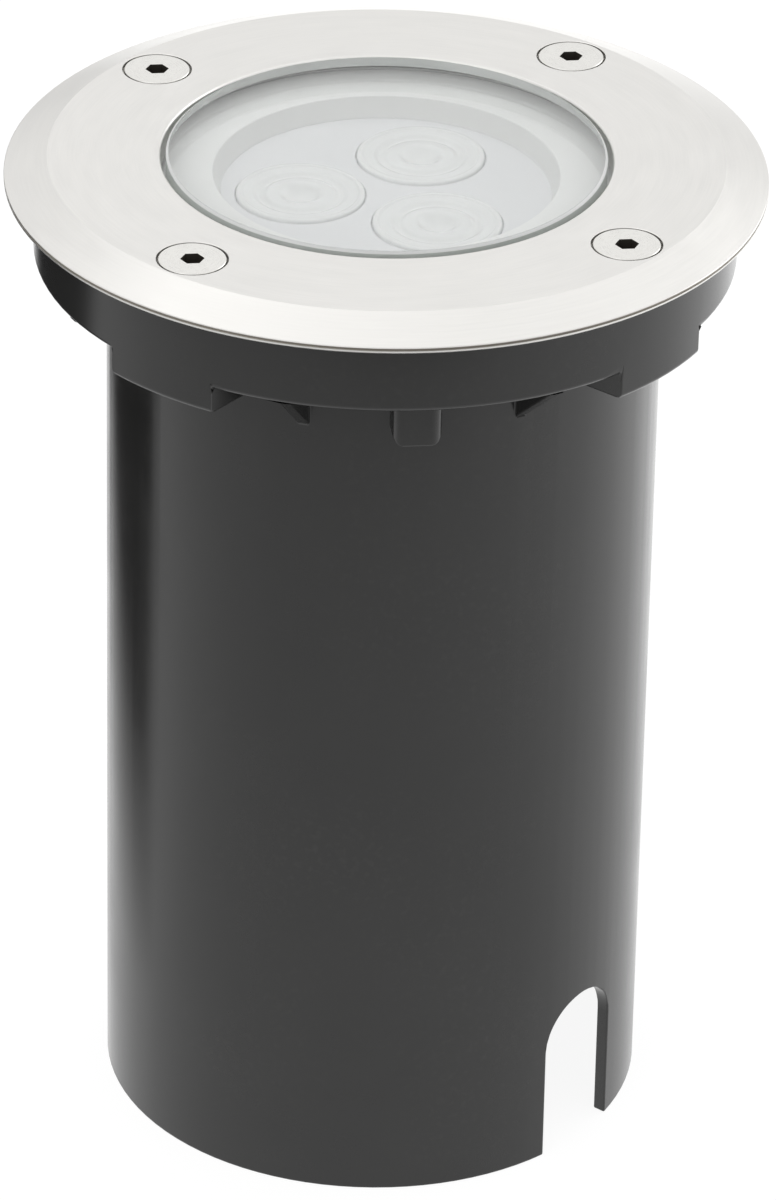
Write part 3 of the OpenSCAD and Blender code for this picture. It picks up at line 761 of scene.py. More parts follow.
class LightSizes(bpy.types.PropertyGroup):
    """Sizes of the detail that the frame doesn't hold"""
    steel_round: size_setting("Steel edge", "Rounding on the trim ring's edges", 0.1 * MM)
    sleeve_round: size_setting("Sleeve edge", "Rounding on the moulded sleeve's edges", 0.25 * MM)
    sleeve_fillet: size_setting(
        "Sleeve fillet", "Fillet on the lower outer edge of the sleeve's collar and lugs", 0.9 * MM)
    line_height: size_setting("Rim line", "Height of the fine line round the trim ring's rim", 0.38 * MM)
    line_depth: size_setting(
        "Rim line depth", "Depth of the fine line round the trim ring's rim", 0.15 * MM)
    lens_step: size_setting("Lens step", "Height of the raised edge round a lens's face", 0.18 * MM)
    dish_reach: size_setting("Lens dish", "Radius of the dish in a lens's face", 3 * MM, least=MM)
    dish_depth: size_setting("Lens dish depth", "Depth of the dish in a lens's face", 1.4 * MM)
    casting_round: size_setting("Casting edge", "Rounding on the lamp housing's edges", 0.4 * MM)
    fine_round: size_setting("Fine edge", "Rounding on the small moulded pieces' edges", 0.12 * MM)
    screw_pitch: size_setting(
        "Screw pitch", "Pitch of the cover screws' thread", 0.8 * MM, least=0.2 * MM)
    screw_thread: size_setting("Screw thread depth", "Depth of the cover screws' thread", 0.45 * MM)
    gland_pitch: size_setting(
        "Gland pitch", "Pitch of the cable gland's thread", 1.5 * MM, least=0.5 * MM)
    gland_thread: size_setting("Gland thread depth", "Depth of the cable gland's thread", 0.7 * MM)
    socket_across: size_setting(
        "Socket", "Width across the flats of the cover screws' sockets", 3 * MM, least=MM)
    socket_depth: size_setting("Socket depth", "Depth of the cover screws' sockets", 2.2 * MM)
    knurls: IntProperty(
        name="Knurls", description="Number of knurls round a thread insert", default=36, min=8)
    knurl_depth: size_setting("Knurl depth", "Depth of the knurls round a thread insert", 0.22 * MM)


class LightColours(bpy.types.PropertyGroup):
    """Colours of the pieces that show"""
    steel: colour_setting("Steel", "Brushed steel of the trim ring", (0.765, 0.755, 0.732))
    screw: colour_setting("Screws", "Steel of the cover screws", (0.78, 0.77, 0.74))
    glass: colour_setting("Glass", "Tint of the window glass", (0.975, 0.985, 0.98))
    lens: colour_setting("Lenses", "Tint of the lenses", (0.985, 0.988, 0.985))
    reflector: colour_setting("Reflector ring", "White plastic of the reflector ring", (0.94, 0.94, 0.93))
    lens_plate: colour_setting("Lens plate", "Pale plastic of the lens plate", (0.85, 0.852, 0.865))
    emitter: colour_setting(
        "Emitters", "Phosphor of the LEDs as it shows through its dome", (0.80, 0.76, 0.58))
    sleeve: colour_setting("Sleeve", "Black moulded plastic of the sleeve", (0.0165, 0.0165, 0.016))


class StudioSettings(bpy.types.PropertyGroup):
    """Camera, lamps and floor"""
    aim: FloatVectorProperty(
        name="Aim", description="Point that the camera looks at",
        default=(1.427 * MM, -0.172 * MM, 77.918 * MM), subtype="TRANSLATION", unit="LENGTH")
    azimuth: angle_setting(
        "Azimuth", "Angle of the camera round the light, from the front to its left", 6.717)
    elevation: angle_setting("Elevation", "Angle of the camera above the floor", 29.666)
    roll: angle_setting("Roll", "Turn of the camera round its line of sight", 1.151)
    distance: number_setting("Distance", "Distance from the aim to the camera", 1.1095, unit="LENGTH")
    lens: number_setting("Lens", "Focal length of the camera in millimetres", 346.81)
    ambient: number_setting("Surrounding light", "Strength of the light from all round", 0.64)
    key: number_setting("Key lamp", "Power of the large lamp at the front left, in watts", 3.2)
    top: number_setting("Top lamp", "Power of the large lamp overhead, in watts", 4.4)
    back: number_setting("Back lamp", "Power of the lamp high at the back, in watts", 0.9)
    rim: number_setting("Side lamp", "Power of the lamp at the back right, in watts", 2.5)
    floor: colour_setting("Floor", "Colour of the floor", (0.82, 0.82, 0.82))


# Pieces

class LIGHT_OT_trim_ring(bpy.types.Operator):
    """Make the bevelled steel trim ring with its four countersinks"""
    bl_idname = "light.trim_ring"
    bl_label = "Trim ring"

    def execute(self, context):
        sizes = context.scene.light_sizes
        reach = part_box("trim_ring")[1].x
        ring = copy_of("trim_ring", "steel_ring")
        rounded_edges(ring, sizes.steel_round)
        line_low = self.rim_line(ring, sizes, reach)
        smooth(ring, sharp=12)
        place(ring, "cover", "brushed_stainless", "trim_ring")
        # The back of the rim line gets dark steel: painted shade in the groove
        coat(ring, finish("rim_line"), lambda centre, normal: (
            centre.z > line_low and abs(centre.xy.length - reach + sizes.line_depth) < 0.05 * MM
            and abs(normal.z) < 0.3
        ))
        return {"FINISHED"}

    def rim_line(self, ring, sizes, reach):
        """Cuts a fine line round the rim, just under the bevel, whose back faces get painted shade, and
        gives the height of its lower edge
        """
        shape = bmesh.new()
        shape.from_mesh(ring.data)

        def upright(face):
            return face.calc_center_median().xy.length > reach - 0.06 * MM and abs(face.normal.z) < 0.1

        wall = [face for face in shape.faces if upright(face)]
        line_low = max(vertex.co.z for face in wall for vertex in face.verts) - sizes.line_height
        parts = wall + list({edge for face in wall for edge in face.edges})
        parts += list({vertex for face in wall for vertex in face.verts})
        bmesh.ops.bisect_plane(shape, geom=parts, plane_co=(0, 0, line_low), plane_no=(0, 0, 1))
        line = [face for face in shape.faces if upright(face) and face.calc_center_median().z > line_low]
        bmesh.ops.inset_region(shape, faces=line, thickness=0.02 * MM, depth=-sizes.line_depth)
        shape.to_mesh(ring.data)
        shape.free()
        return line_low


class LIGHT_OT_cover_screws(bpy.types.Operator):
    """Make the countersunk cover screws, with their threads and hexagon sockets"""
    bl_idname = "light.cover_screws"
    bl_label = "Cover screws"

    def execute(self, context):
        for number in range(1, 5):
            self.make(context.scene.light_sizes, number)
        return {"FINISHED"}

    def make(self, sizes, number):
        node = f"cover_screw_{number}"
        low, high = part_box(node)
        axis = (low + high) / 2
        centre = (axis.x, axis.y)
        length = high.z - low.z
        head = (high.x - low.x) / 2
        tip = 0.6 * MM
        edge = 0.1 * MM
        shank = radii(node, low.z + tip, centre)[-1]
        rim = high.z - lowest_at(node, head, centre)
        cone = head - shank
        neck = -rim - cone
        thread_top = neck - tip
        outline = [(0, 0, 0), (head - edge, 0, edge / 2), (head, -edge, edge / 2)]
        outline += [(head, -rim, 0.08 * MM), (shank, neck, edge)]
        outline += threaded_rows(shank, thread_top, -length + tip, sizes.screw_pitch)
        outline += [(shank - tip, -length, edge), (0, -length, 0)]
        cut = thread_cut(
            sizes.screw_pitch, sizes.screw_thread, -length + tip / 2, thread_top, shank - TINY
        )
        screw = lathe(f"screw_{number}", rounded_corners(outline, 0), 64, cut)
        socket = hexagon_prism("socket", sizes.socket_across, -sizes.socket_depth, MM)
        combine(screw, socket, "DIFFERENCE")
        drill = sizes.socket_across / 2 - 0.1 * MM
        point = lathe("drill", [
            (0, -sizes.socket_depth + MM), (drill, -sizes.socket_depth + MM),
            (drill, -sizes.socket_depth - 0.05 * MM), (0, -sizes.socket_depth - drill * tan(pi / 6)),
        ], 36)
        combine(screw, point, "DIFFERENCE")
        smooth(screw, sharp=30)
        screw.location = (axis.x, axis.y, high.z)
        place(screw, f"screw_{number}", "screw_steel", node)
        reach = corner_reach(sizes.socket_across)
        coat(screw, finish("socket_shade"), lambda centre, normal: (
            centre.xy.length < reach and centre.z < -0.05 * MM
            and centre.z > -sizes.socket_depth - drill
        ))


class LIGHT_OT_window(bpy.types.Operator):
    """Make the stepped window glass with its ground edge, whose chamfer is lightened as a painted highlight,
    and its gaskets
    """
    bl_idname = "light.window"
    bl_label = "Window glass"

    def execute(self, context):
        sizes = context.scene.light_sizes
        glass = softened("window_glass", 0.06 * MM, "window")
        place(glass, "lamp", "clear_glass", "window_glass")
        coat(glass, finish("ground_edge"), lambda centre, normal: abs(normal.z) < 0.3)
        # The chamfer gets the lighter ground finish, which is partly a painted highlight
        coat(glass, finish("ground_chamfer"), lambda centre, normal: 0.3 <= abs(normal.z) < 0.9)
        for node in ("top_gasket", "seat_gasket"):
            place_softened(node, sizes.fine_round)
        return {"FINISHED"}


class LIGHT_OT_optics(bpy.types.Operator):
    """Make the reflector ring, the lens plate and the three lenses"""
    bl_idname = "light.optics"
    bl_label = "Reflector and lenses"

    def execute(self, context):
        sizes = context.scene.light_sizes
        reflector = softened("reflector_ring", sizes.fine_round, "reflector")
        place(reflector, "lamp", "white_plastic", "reflector_ring")
        mouth = radii("reflector_ring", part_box("reflector_ring")[1].z)[0]
        # The inner cone gets a darker copy of the white plastic: painted shade
        coat(reflector, finish("inner_cone"), lambda centre, normal: (
            centre.xy.length < mouth and normal.xy.dot(centre.xy) < 0 and abs(normal.z) < 0.5
        ))
        plate = softened("lens_plate", sizes.fine_round, "plate")
        place(plate, "lamp", "lens_plate_plastic", "lens_plate")
        place(self.lens_set(sizes), "lamp", "lens_acrylic", "lenses")
        return {"FINISHED"}

    def lens_set(self, sizes):
        """Three collimators, with one of them on the left"""
        low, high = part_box("lenses")
        circle = -2 * (low.x + high.x)
        left = (-circle, 0)
        rim = -low.x - circle
        well, foot = radii("lenses", low.z, left)[:2]
        seat = lowest_at("lenses", rim, left)
        neck = radii("lenses", seat, left)[0]
        outline = self.foot_outline(low.z, seat, well, foot, neck)
        outline += self.face_outline(sizes, high.z, seat, rim)
        outline = rounded_corners(outline, 0)
        lenses = []
        for angle in (60, 180, 300):
            lens = lathe("lens", outline, 96)
            lens.location = (circle * cos(radians(angle)), circle * sin(radians(angle)), 0)
            lenses.append(lens)
        return smooth(joined("lens_set", lenses), sharp=35)

    def foot_outline(self, low, seat, well, foot, neck):
        """The hollow foot with its domed roof, and the curved side up to the seat"""
        roof = low + 2.75 * MM
        roof_drop = 0.5 * MM
        roof_reach = 0.84 * well
        steps = 12
        outline = [
            (roof_reach * step / steps, roof - roof_drop * (step / steps) ** 2, 0)
            for step in range(steps + 1)
        ]
        outline.append((well, low, 0.1 * MM))
        outline += [
            (foot + (neck - foot) * (step / steps) ** 0.7, low + (seat - low) * step / steps, 0)
            for step in range(steps + 1)
        ]
        return outline

    def face_outline(self, sizes, top, seat, rim):
        """The rim, the step inside it and the dished face"""
        face = top - sizes.lens_step
        inner = rim - 0.75 * MM
        bend = 0.3 * MM
        lip = 0.05 * MM
        outline = [(rim, seat, 0.1 * MM), (rim, top, 0.42 * MM), (inner, top, bend)]
        outline.append((inner - bend, face, bend))
        groove = (inner - bend + sizes.dish_reach) / 2 + 0.2 * MM
        half_width = 1.3 * MM
        half_depth = 0.25 * MM
        steps = 8
        for step in range(1, 2 * steps):
            share = step / steps
            depth = half_depth * (1 - cos(pi * share))
            outline.append((groove + half_width * (1 - share), face - depth, 0))
        outline.append((sizes.dish_reach + 0.5 * MM, face + lip, 0.4 * MM))
        for step in range(steps + 1):
            share = 1 - step / steps
            depth = sizes.dish_depth * (1 - share ** 2)
            outline.append((sizes.dish_reach * share, face - lip - depth, 0))
        return outline


class LIGHT_OT_light_engine(bpy.types.Operator):
    """Finish the LED board, its emitters, the heat sink and their screws"""
    bl_idname = "light.light_engine"
    bl_label = "Light engine"

    def execute(self, context):
        sizes = context.scene.light_sizes
        place(self.emitters(), "lamp", "led_phosphor", "led_emitters")
        for node in ("led_board", "thermal_pad", "board_screws", "sink_screws"):
            place_softened(node, sizes.fine_round / 2)
        sink = softened("heat_sink", sizes.casting_round / 2, "sink")
        place(sink, "lamp", "sink_aluminium", "heat_sink")
        return {"FINISHED"}

    def emitters(self):
        """Three LEDs, each a ceramic square with a phosphor dome on it"""
        boxes = solids("led_emitters")
        side = boxes[0][1].x - boxes[0][0].x
        corner = Vector((side / 2, side / 2, 0))
        reach = 1.9 * MM
        sunk = 0.1 * MM
        base_high = lowest_at("led_emitters", reach, ((boxes[0][0] + boxes[0][1]) / 2).xy)
        pieces = []
        for low, high in boxes:
            centre = (low + high) / 2
            base = block(
                "base", Vector((0, 0, low.z)) - corner, Vector((0, 0, base_high)) + corner, 0.15 * MM
            )
            base.rotation_euler.z = centre.xy.angle_signed(Vector((1, 0)))
            base.location = (centre.x, centre.y, 0)
            steps = 9
            tall = high.z - base_high
            outline = [(0, base_high - sunk), (reach, base_high - sunk)]
            outline += [
                (reach * cos(pi / 2 * step / steps), base_high + tall * sin(pi / 2 * step / steps))
                for step in range(steps)
            ]
            outline.append((0, high.z))
            dome = lathe("dome", outline, 48)
            dome.location = (centre.x, centre.y, 0)
            pieces += [painted(dome, "led_phosphor"), painted(base, "led_ceramic")]
        return smooth(joined("emitters", pieces), sharp=35)


class LIGHT_OT_lamp_housing(bpy.types.Operator):
    """Make the cast lamp housing"""
    bl_idname = "light.lamp_housing"
    bl_label = "Lamp housing"

    def execute(self, context):
        sizes = context.scene.light_sizes
        housing = copy_of("lamp_housing", "housing", merge=0.05 * MM)
        smooth(rounded_edges(housing, sizes.casting_round, segments=3, clamp=False))
        place(housing, "lamp", "housing_aluminium", "lamp_housing")
        return {"FINISHED"}


class LIGHT_OT_driver(bpy.types.Operator):
    """Finish the driver in its tray, the terminal block and the leads"""
    bl_idname = "light.driver"
    bl_label = "Driver and leads"

    def execute(self, context):
        sizes = context.scene.light_sizes
        for node in ("driver_tray", "driver_lid", "driver_board"):
            place_softened(node, sizes.fine_round)
        place(self.components(), "lamp", "component_case", "driver_components")
        place(self.terminals(sizes), "lamp", "ivory_plastic", "terminal_block")
        place(self.led_leads(), "lamp", "red_insulation", "led_leads")
        place(self.mains_leads(), "lamp", "brown_insulation", "mains_leads")
        return {"FINISHED"}

    def components(self):
        transformer, filter_box, choke, can, small_can = solids("driver_components")
        pieces = self.transformer(*transformer)
        pieces.append(painted(block("filter", *filter_box, 0.5 * MM), "component_case"))
        pieces += self.choke(*choke) + self.capacitor(*can) + self.capacitor(*small_can)
        return smooth(joined("components", pieces), sharp=35)

    def transformer(self, low, high):
        """A ferrite core through a taped winding, between the two cheeks of its bobbin"""
        wide = high.x - low.x
        centre = (low + high) / 2
        core_half = 0.22 * wide
        leg = 0.2 * wide
        cheek_in = 0.12 * wide
        cheek = 1.2 * MM
        foot = low.z + MM
        core = block(
            "core", Vector((low.x, centre.y - core_half, foot)),
            Vector((high.x, centre.y + core_half, high.z)), 0.3 * MM,
        )
        winding = block(
            "winding", Vector((low.x + leg, low.y + cheek / 2, foot + 0.6 * MM)),
            Vector((high.x - leg, high.y - cheek / 2, high.z - 0.9 * MM)), 0.9 * MM,
        )
        pieces = [painted(core, "ferrite"), painted(winding, "component_case")]
        for start in (low.y, high.y - cheek):
            plate = block(
                "cheek", Vector((low.x + cheek_in, start, low.z)),
                Vector((high.x - cheek_in, start + cheek, high.z - 0.4 * MM)), 0.25 * MM,
            )
            pieces.append(painted(plate, "gland_nylon"))
        return pieces

    def choke(self, low, high):
        """A ring core wound with enamelled wire"""
        reach = (high.x - low.x) / 2
        tube = reach / 4
        ring = wound_ring(
            "winding", (low + high) / 2, reach - tube, tube, (high.z - low.z) / 2, turns=26
        )
        return [painted(ring, "choke_winding")]

    def capacitor(self, low, high):
        """A can in its sleeve, with a groove near the foot and a bare top"""
        reach = (high.x - low.x) / 2
        lid = high.z - 0.25 * MM
        proud = 0.05 * MM
        bend = 0.3 * MM
        crimp = low.z + 1.6 * MM
        mouth = reach - MM
        outline = [
            (0, low.z, 0), (reach, low.z, bend), (reach, crimp - MM / 2, bend),
            (reach - 0.35 * MM, crimp, bend), (reach, crimp + MM / 2, bend),
            (reach, high.z, 0.5 * MM), (mouth, high.z, 0.1 * MM), (mouth, lid, 0), (0, lid, 0),
        ]
        can = painted(lathe("can", rounded_corners(outline, 0), 48), "capacitor_sleeve")
        cap = mouth + proud
        top = painted(lathe("top", rounded_corners([
            (0, lid - 0.2 * MM, 0), (cap, lid - 0.2 * MM, 0), (cap, lid + proud, proud),
            (0.4 * MM, lid + proud, 0.1 * MM), (0, lid - proud, 0),
        ], 0), 48), "zinc_screws")
        middle_of = (low + high) / 2
        for part in (can, top):
            part.location = (middle_of.x, middle_of.y, 0)
        return [can, top]

    def terminals(self, sizes):
        """The block with a slotted clamp screw down each of its three poles"""
        low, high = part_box("terminal_block")
        pole = (high.x - low.x) / 3
        row = low.y + (high.y - low.y) / 3
        hole = radii("terminal_block", high.z, (0, row))[0]
        pieces = [painted(softened("terminal_block", sizes.fine_round), "ivory_plastic")]
        for number in (-1, 0, 1):
            top = high.z - 0.8 * MM
            reach = hole - 0.1 * MM
            screw = lathe("clamp", rounded_corners([
                (0, top - 2 * MM, 0), (reach, top - 2 * MM, 0), (reach, top, 0.25 * MM), (0, top, 0),
            ], 0), 48)
            slot = block(
                "slot", Vector((-0.25 * MM, -2 * MM, top - 0.8 * MM)),
                Vector((0.25 * MM, 2 * MM, top + MM)), 0.05 * MM,
            )
            screw = combine(screw, slot, "DIFFERENCE")
            screw.location = (number * pole, row, 0)
            pieces.append(painted(screw, "zinc_screws"))
        return smooth(joined("terminals", pieces), sharp=35)

    def led_leads(self):
        """Two leads that rise through the board, bend out and end in solder"""
        bend = 1.6 * MM
        pieces = []
        for low, high in solids("led_leads"):
            reach = (high.y - low.y) / 2
            side = 1 if high.x + low.x > 0 else -1
            inner = min(abs(low.x), abs(high.x)) + reach
            outer = max(abs(low.x), abs(high.x))
            level = high.z - reach
            points = [(side * inner, 0, low.z), (side * inner, 0, level - bend)]
            steps = 8
            for step in range(1, steps + 1):
                angle = pi / 2 * step / steps
                out = inner + bend * (1 - cos(angle))
                points.append((side * out, 0, level - bend * (1 - sin(angle))))
            bare = outer - 1.4 * MM
            cover = cable("lead", points + [(side * bare, 0, level)], reach)
            hidden = bare - 0.2 * MM
            core = cable("core", [(side * hidden, 0, level), (side * outer, 0, level)], reach / 2)
            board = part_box("led_board")[1].z
            solder = 0.7 * MM
            mound = lathe("solder", [
                (0, board), (solder, board), (0.62 * MM, board + 0.3 * MM), (0.4 * MM, level + 0.3 * MM),
                (0, level + 0.45 * MM),
            ], 32)
            mound.location = (side * (outer - solder), 0, 0)
            pieces += [painted(cover, "red_insulation"), painted(core, "choke_winding")]
            pieces.append(painted(mound, "zinc_screws"))
        return smooth(joined("lamp_leads", pieces), sharp=50)

    def mains_leads(self):
        """Two leads from the terminal block to the driver board, bare at both ends"""
        pieces = []
        for low, high in solids("mains_leads"):
            centre = (low + high) / 2
            reach = (high.x - low.x) / 2
            bare = 0.8 * MM
            spot = (centre.x, centre.y)
            cover = cable("lead", [(*spot, low.z + bare), (*spot, centre.z), (*spot, high.z - bare)], reach)
            core = cable("core", [(*spot, low.z), (*spot, high.z)], reach / 2)
            pieces += [painted(cover, "brown_insulation"), painted(core, "choke_winding")]
        return smooth(joined("supply_leads", pieces), sharp=50)


class LIGHT_OT_cable_gland(bpy.types.Operator):
    """Make the cable gland with its threads and hexagons"""
    bl_idname = "light.cable_gland"
    bl_label = "Cable gland"

    def execute(self, context):
        sizes = context.scene.light_sizes
        place(self.body(sizes), "lamp", "gland_nylon", "gland_body")
        place(self.locknut(), "lamp", "gland_nylon", "gland_locknut")
        place(self.o_ring(), "lamp", slot_of("gland_o_ring"), "gland_o_ring")
        place_softened("gland_seal", 2 * sizes.fine_round, body="gland_seal")
        place(self.nut(), "gland_nut", "gland_nylon", "gland_nut")
        return {"FINISHED"}

    def body(self, sizes):
        """A tube threaded at both ends, with a hexagon between them"""
        low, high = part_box("gland_body")
        across = high.y - low.y
        bore, outer = radii("gland_body", low.z)[:2]
        hexagon_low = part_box("gland_seal")[1].z
        hexagon_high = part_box("gland_o_ring")[0].z
        lead = 0.8 * MM
        rows = [(bore, low.z, 0.3 * MM), (outer - lead, low.z, 0.1 * MM), (outer, low.z + lead, 0)]
        rows += threaded_rows(outer, low.z + lead, hexagon_low, sizes.gland_pitch)[1:]
        rows += threaded_rows(outer, hexagon_high, high.z - lead, sizes.gland_pitch)
        rows += [(outer - lead, high.z, 0.1 * MM), (bore, high.z, 0.3 * MM)]
        lower = thread_cut(sizes.gland_pitch, sizes.gland_thread, low.z, hexagon_low, outer - TINY)
        upper = thread_cut(sizes.gland_pitch, sizes.gland_thread, hexagon_high, high.z, outer - TINY)
        tube = lathe("gland", rounded_corners(rows, 0), 96, lambda angle, radius, height: (
            lower(angle, radius, height) + upper(angle, radius, height)
        ))
        collar = turned_hexagon("collar", across, hexagon_low, hexagon_high)
        bored(collar, (bore + outer) / 2, hexagon_low, hexagon_high)
        return smooth(combine(tube, collar, "UNION"), sharp=30)

    def locknut(self):
        low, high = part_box("gland_locknut")
        nut = turned_hexagon("locknut", high.y - low.y, low.z, high.z)
        bored(nut, radii("gland_locknut", low.z)[0], low.z, high.z)
        return smooth(nut, sharp=30)

    def o_ring(self):
        low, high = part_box("gland_o_ring")
        inner, outer = radii("gland_o_ring", low.z)[:2]
        ring = [(inner, low.z), (outer, low.z), (outer, high.z), (inner, high.z)]
        return smooth(lathe("gland_ring", rounded_corners(ring, 0.45 * (high.z - low.z), 6), 96), sharp=60)

    def nut(self):
        """A cap nut: a hexagon above a cone with the mouth for the cable"""
        low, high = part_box("gland_nut")
        across = high.y - low.y
        mouth, foot = radii("gland_nut", low.z)[:2]
        cone_high = low.z + across / 2 - foot
        chamfer = 0.5 * MM
        past = 0.01 * MM
        lip = min(
            vertex.co.z for vertex in frame["nodes"]["gland_nut"].data.vertices
            if vertex.co.z > low.z + chamfer and vertex.co.xy.length < mouth + chamfer
        )
        bore = radii("gland_nut", high.z)[0]
        cap = turned_hexagon("cap_nut", across, cone_high, high.z)
        shoulder = across / 2 * 0.98
        sunk = cone_high + 2 * MM
        cone = lathe("cone", rounded_corners([
            (0, low.z, 0), (foot, low.z, 0.6 * MM), (shoulder, cone_high, 0.8 * MM),
            (shoulder, sunk, 0), (0, sunk, 0),
        ], 0, 6), 96)
        combine(cap, cone, "UNION")
        inside = lathe("inside", [
            (0, low.z - MM), (mouth + chamfer, low.z - past), (mouth, low.z + chamfer), (mouth, lip),
            (bore, lip), (bore, high.z - 0.8 * MM), (bore + chamfer, high.z + past), (0, high.z + MM),
        ], 96)
        return smooth(combine(cap, inside, "DIFFERENCE"), sharp=30)


class LIGHT_OT_sleeve(bpy.types.Operator):
    """Make the moulded sleeve with its collar, lugs, bosses and gussets, and its brass inserts"""
    bl_idname = "light.sleeve"
    bl_label = "Sleeve"

    def execute(self, context):
        sizes = context.scene.light_sizes
        place(self.sleeve(sizes), "sleeve", "sleeve_plastic", "sleeve")
        place(self.inserts(sizes), "sleeve", "insert_brass", "thread_inserts")
        for number in range(1, 5):
            dress(f"screw_seal_{number}")
        return {"FINISHED"}

    def sleeve(self, sizes):
        """The moulding, with a fillet along the lower outer edges and every other edge rounded"""
        sleeve = copy_of("sleeve", "mounting_sleeve", merge=0.05 * MM)
        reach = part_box("sleeve")[1].x
        shape = bmesh.new()
        shape.from_mesh(sleeve.data)

        def hangs(edge):
            """Whether an edge runs round the outside, level, with one face that looks down"""
            if len(edge.link_faces) != 2 or edge.calc_face_angle() < radians(60) or not edge.is_convex:
                return False
            one, other = edge.verts
            level = abs(one.co.z - other.co.z) < TINY
            outside = min(one.co.xy.length, other.co.xy.length) > reach - 0.1 * MM
            return level and outside and min(face.normal.z for face in edge.link_faces) < -0.9

        lower = [edge for edge in shape.edges if hangs(edge)]
        bmesh.ops.bevel(
            shape, geom=lower, offset=sizes.sleeve_fillet, segments=5, profile=0.5,
            affect="EDGES", clamp_overlap=False,
        )
        shape.to_mesh(sleeve.data)
        shape.free()
        rounded_edges(sleeve, sizes.sleeve_round, clamp=False)
        return smooth(sleeve)

    def inserts(self, sizes):
        """Four brass inserts: knurled in two bands outside, threaded inside"""
        pieces = []
        for low, high in solids("thread_inserts"):
            centre = (low + high) / 2
            outer = (high.x - low.x) / 2
            inner = radii("thread_inserts", high.z, centre.xy)[0]
            lead_in = 0.4 * MM
            lead_out = 0.2 * MM
            taper = 0.5 * MM
            groove = 0.35 * MM
            groove_half = 0.8 * MM
            band = groove_half + 0.2 * MM
            middle_z = (low.z + high.z) / 2
            rows = threaded_rows(inner, high.z - lead_in, low.z + lead_out, sizes.screw_pitch)
            outline = [(inner + lead_in, high.z, 0)] + rows + [(inner + 0.3 * MM, low.z, 0)]
            outline += [(outer - lead_in, low.z, 0), (outer, low.z + taper, 0)]
            outline += [(outer, middle_z - band, 0), (outer - groove, middle_z - groove_half, 0)]
            outline += [(outer - groove, middle_z + groove_half, 0), (outer, middle_z + band, 0)]
            outline += [(outer, high.z - taper, 0), (outer - 0.3 * MM, high.z, 0)]
            inside = thread_cut(sizes.screw_pitch, -0.3 * MM, low.z, high.z, inner - TINY)

            def dip(angle, radius, height):
                if radius > outer - TINY:
                    return sizes.knurl_depth * (0.5 + 0.5 * cos(sizes.knurls * angle))
                return inside(angle, radius, height) if radius < inner + TINY else 0

            insert = lathe("insert", rounded_corners(outline, 0), 4 * sizes.knurls, dip)
            insert.location = (centre.x, centre.y, 0)
            pieces.append(insert)
        return smooth(joined("inserts", pieces), sharp=35)


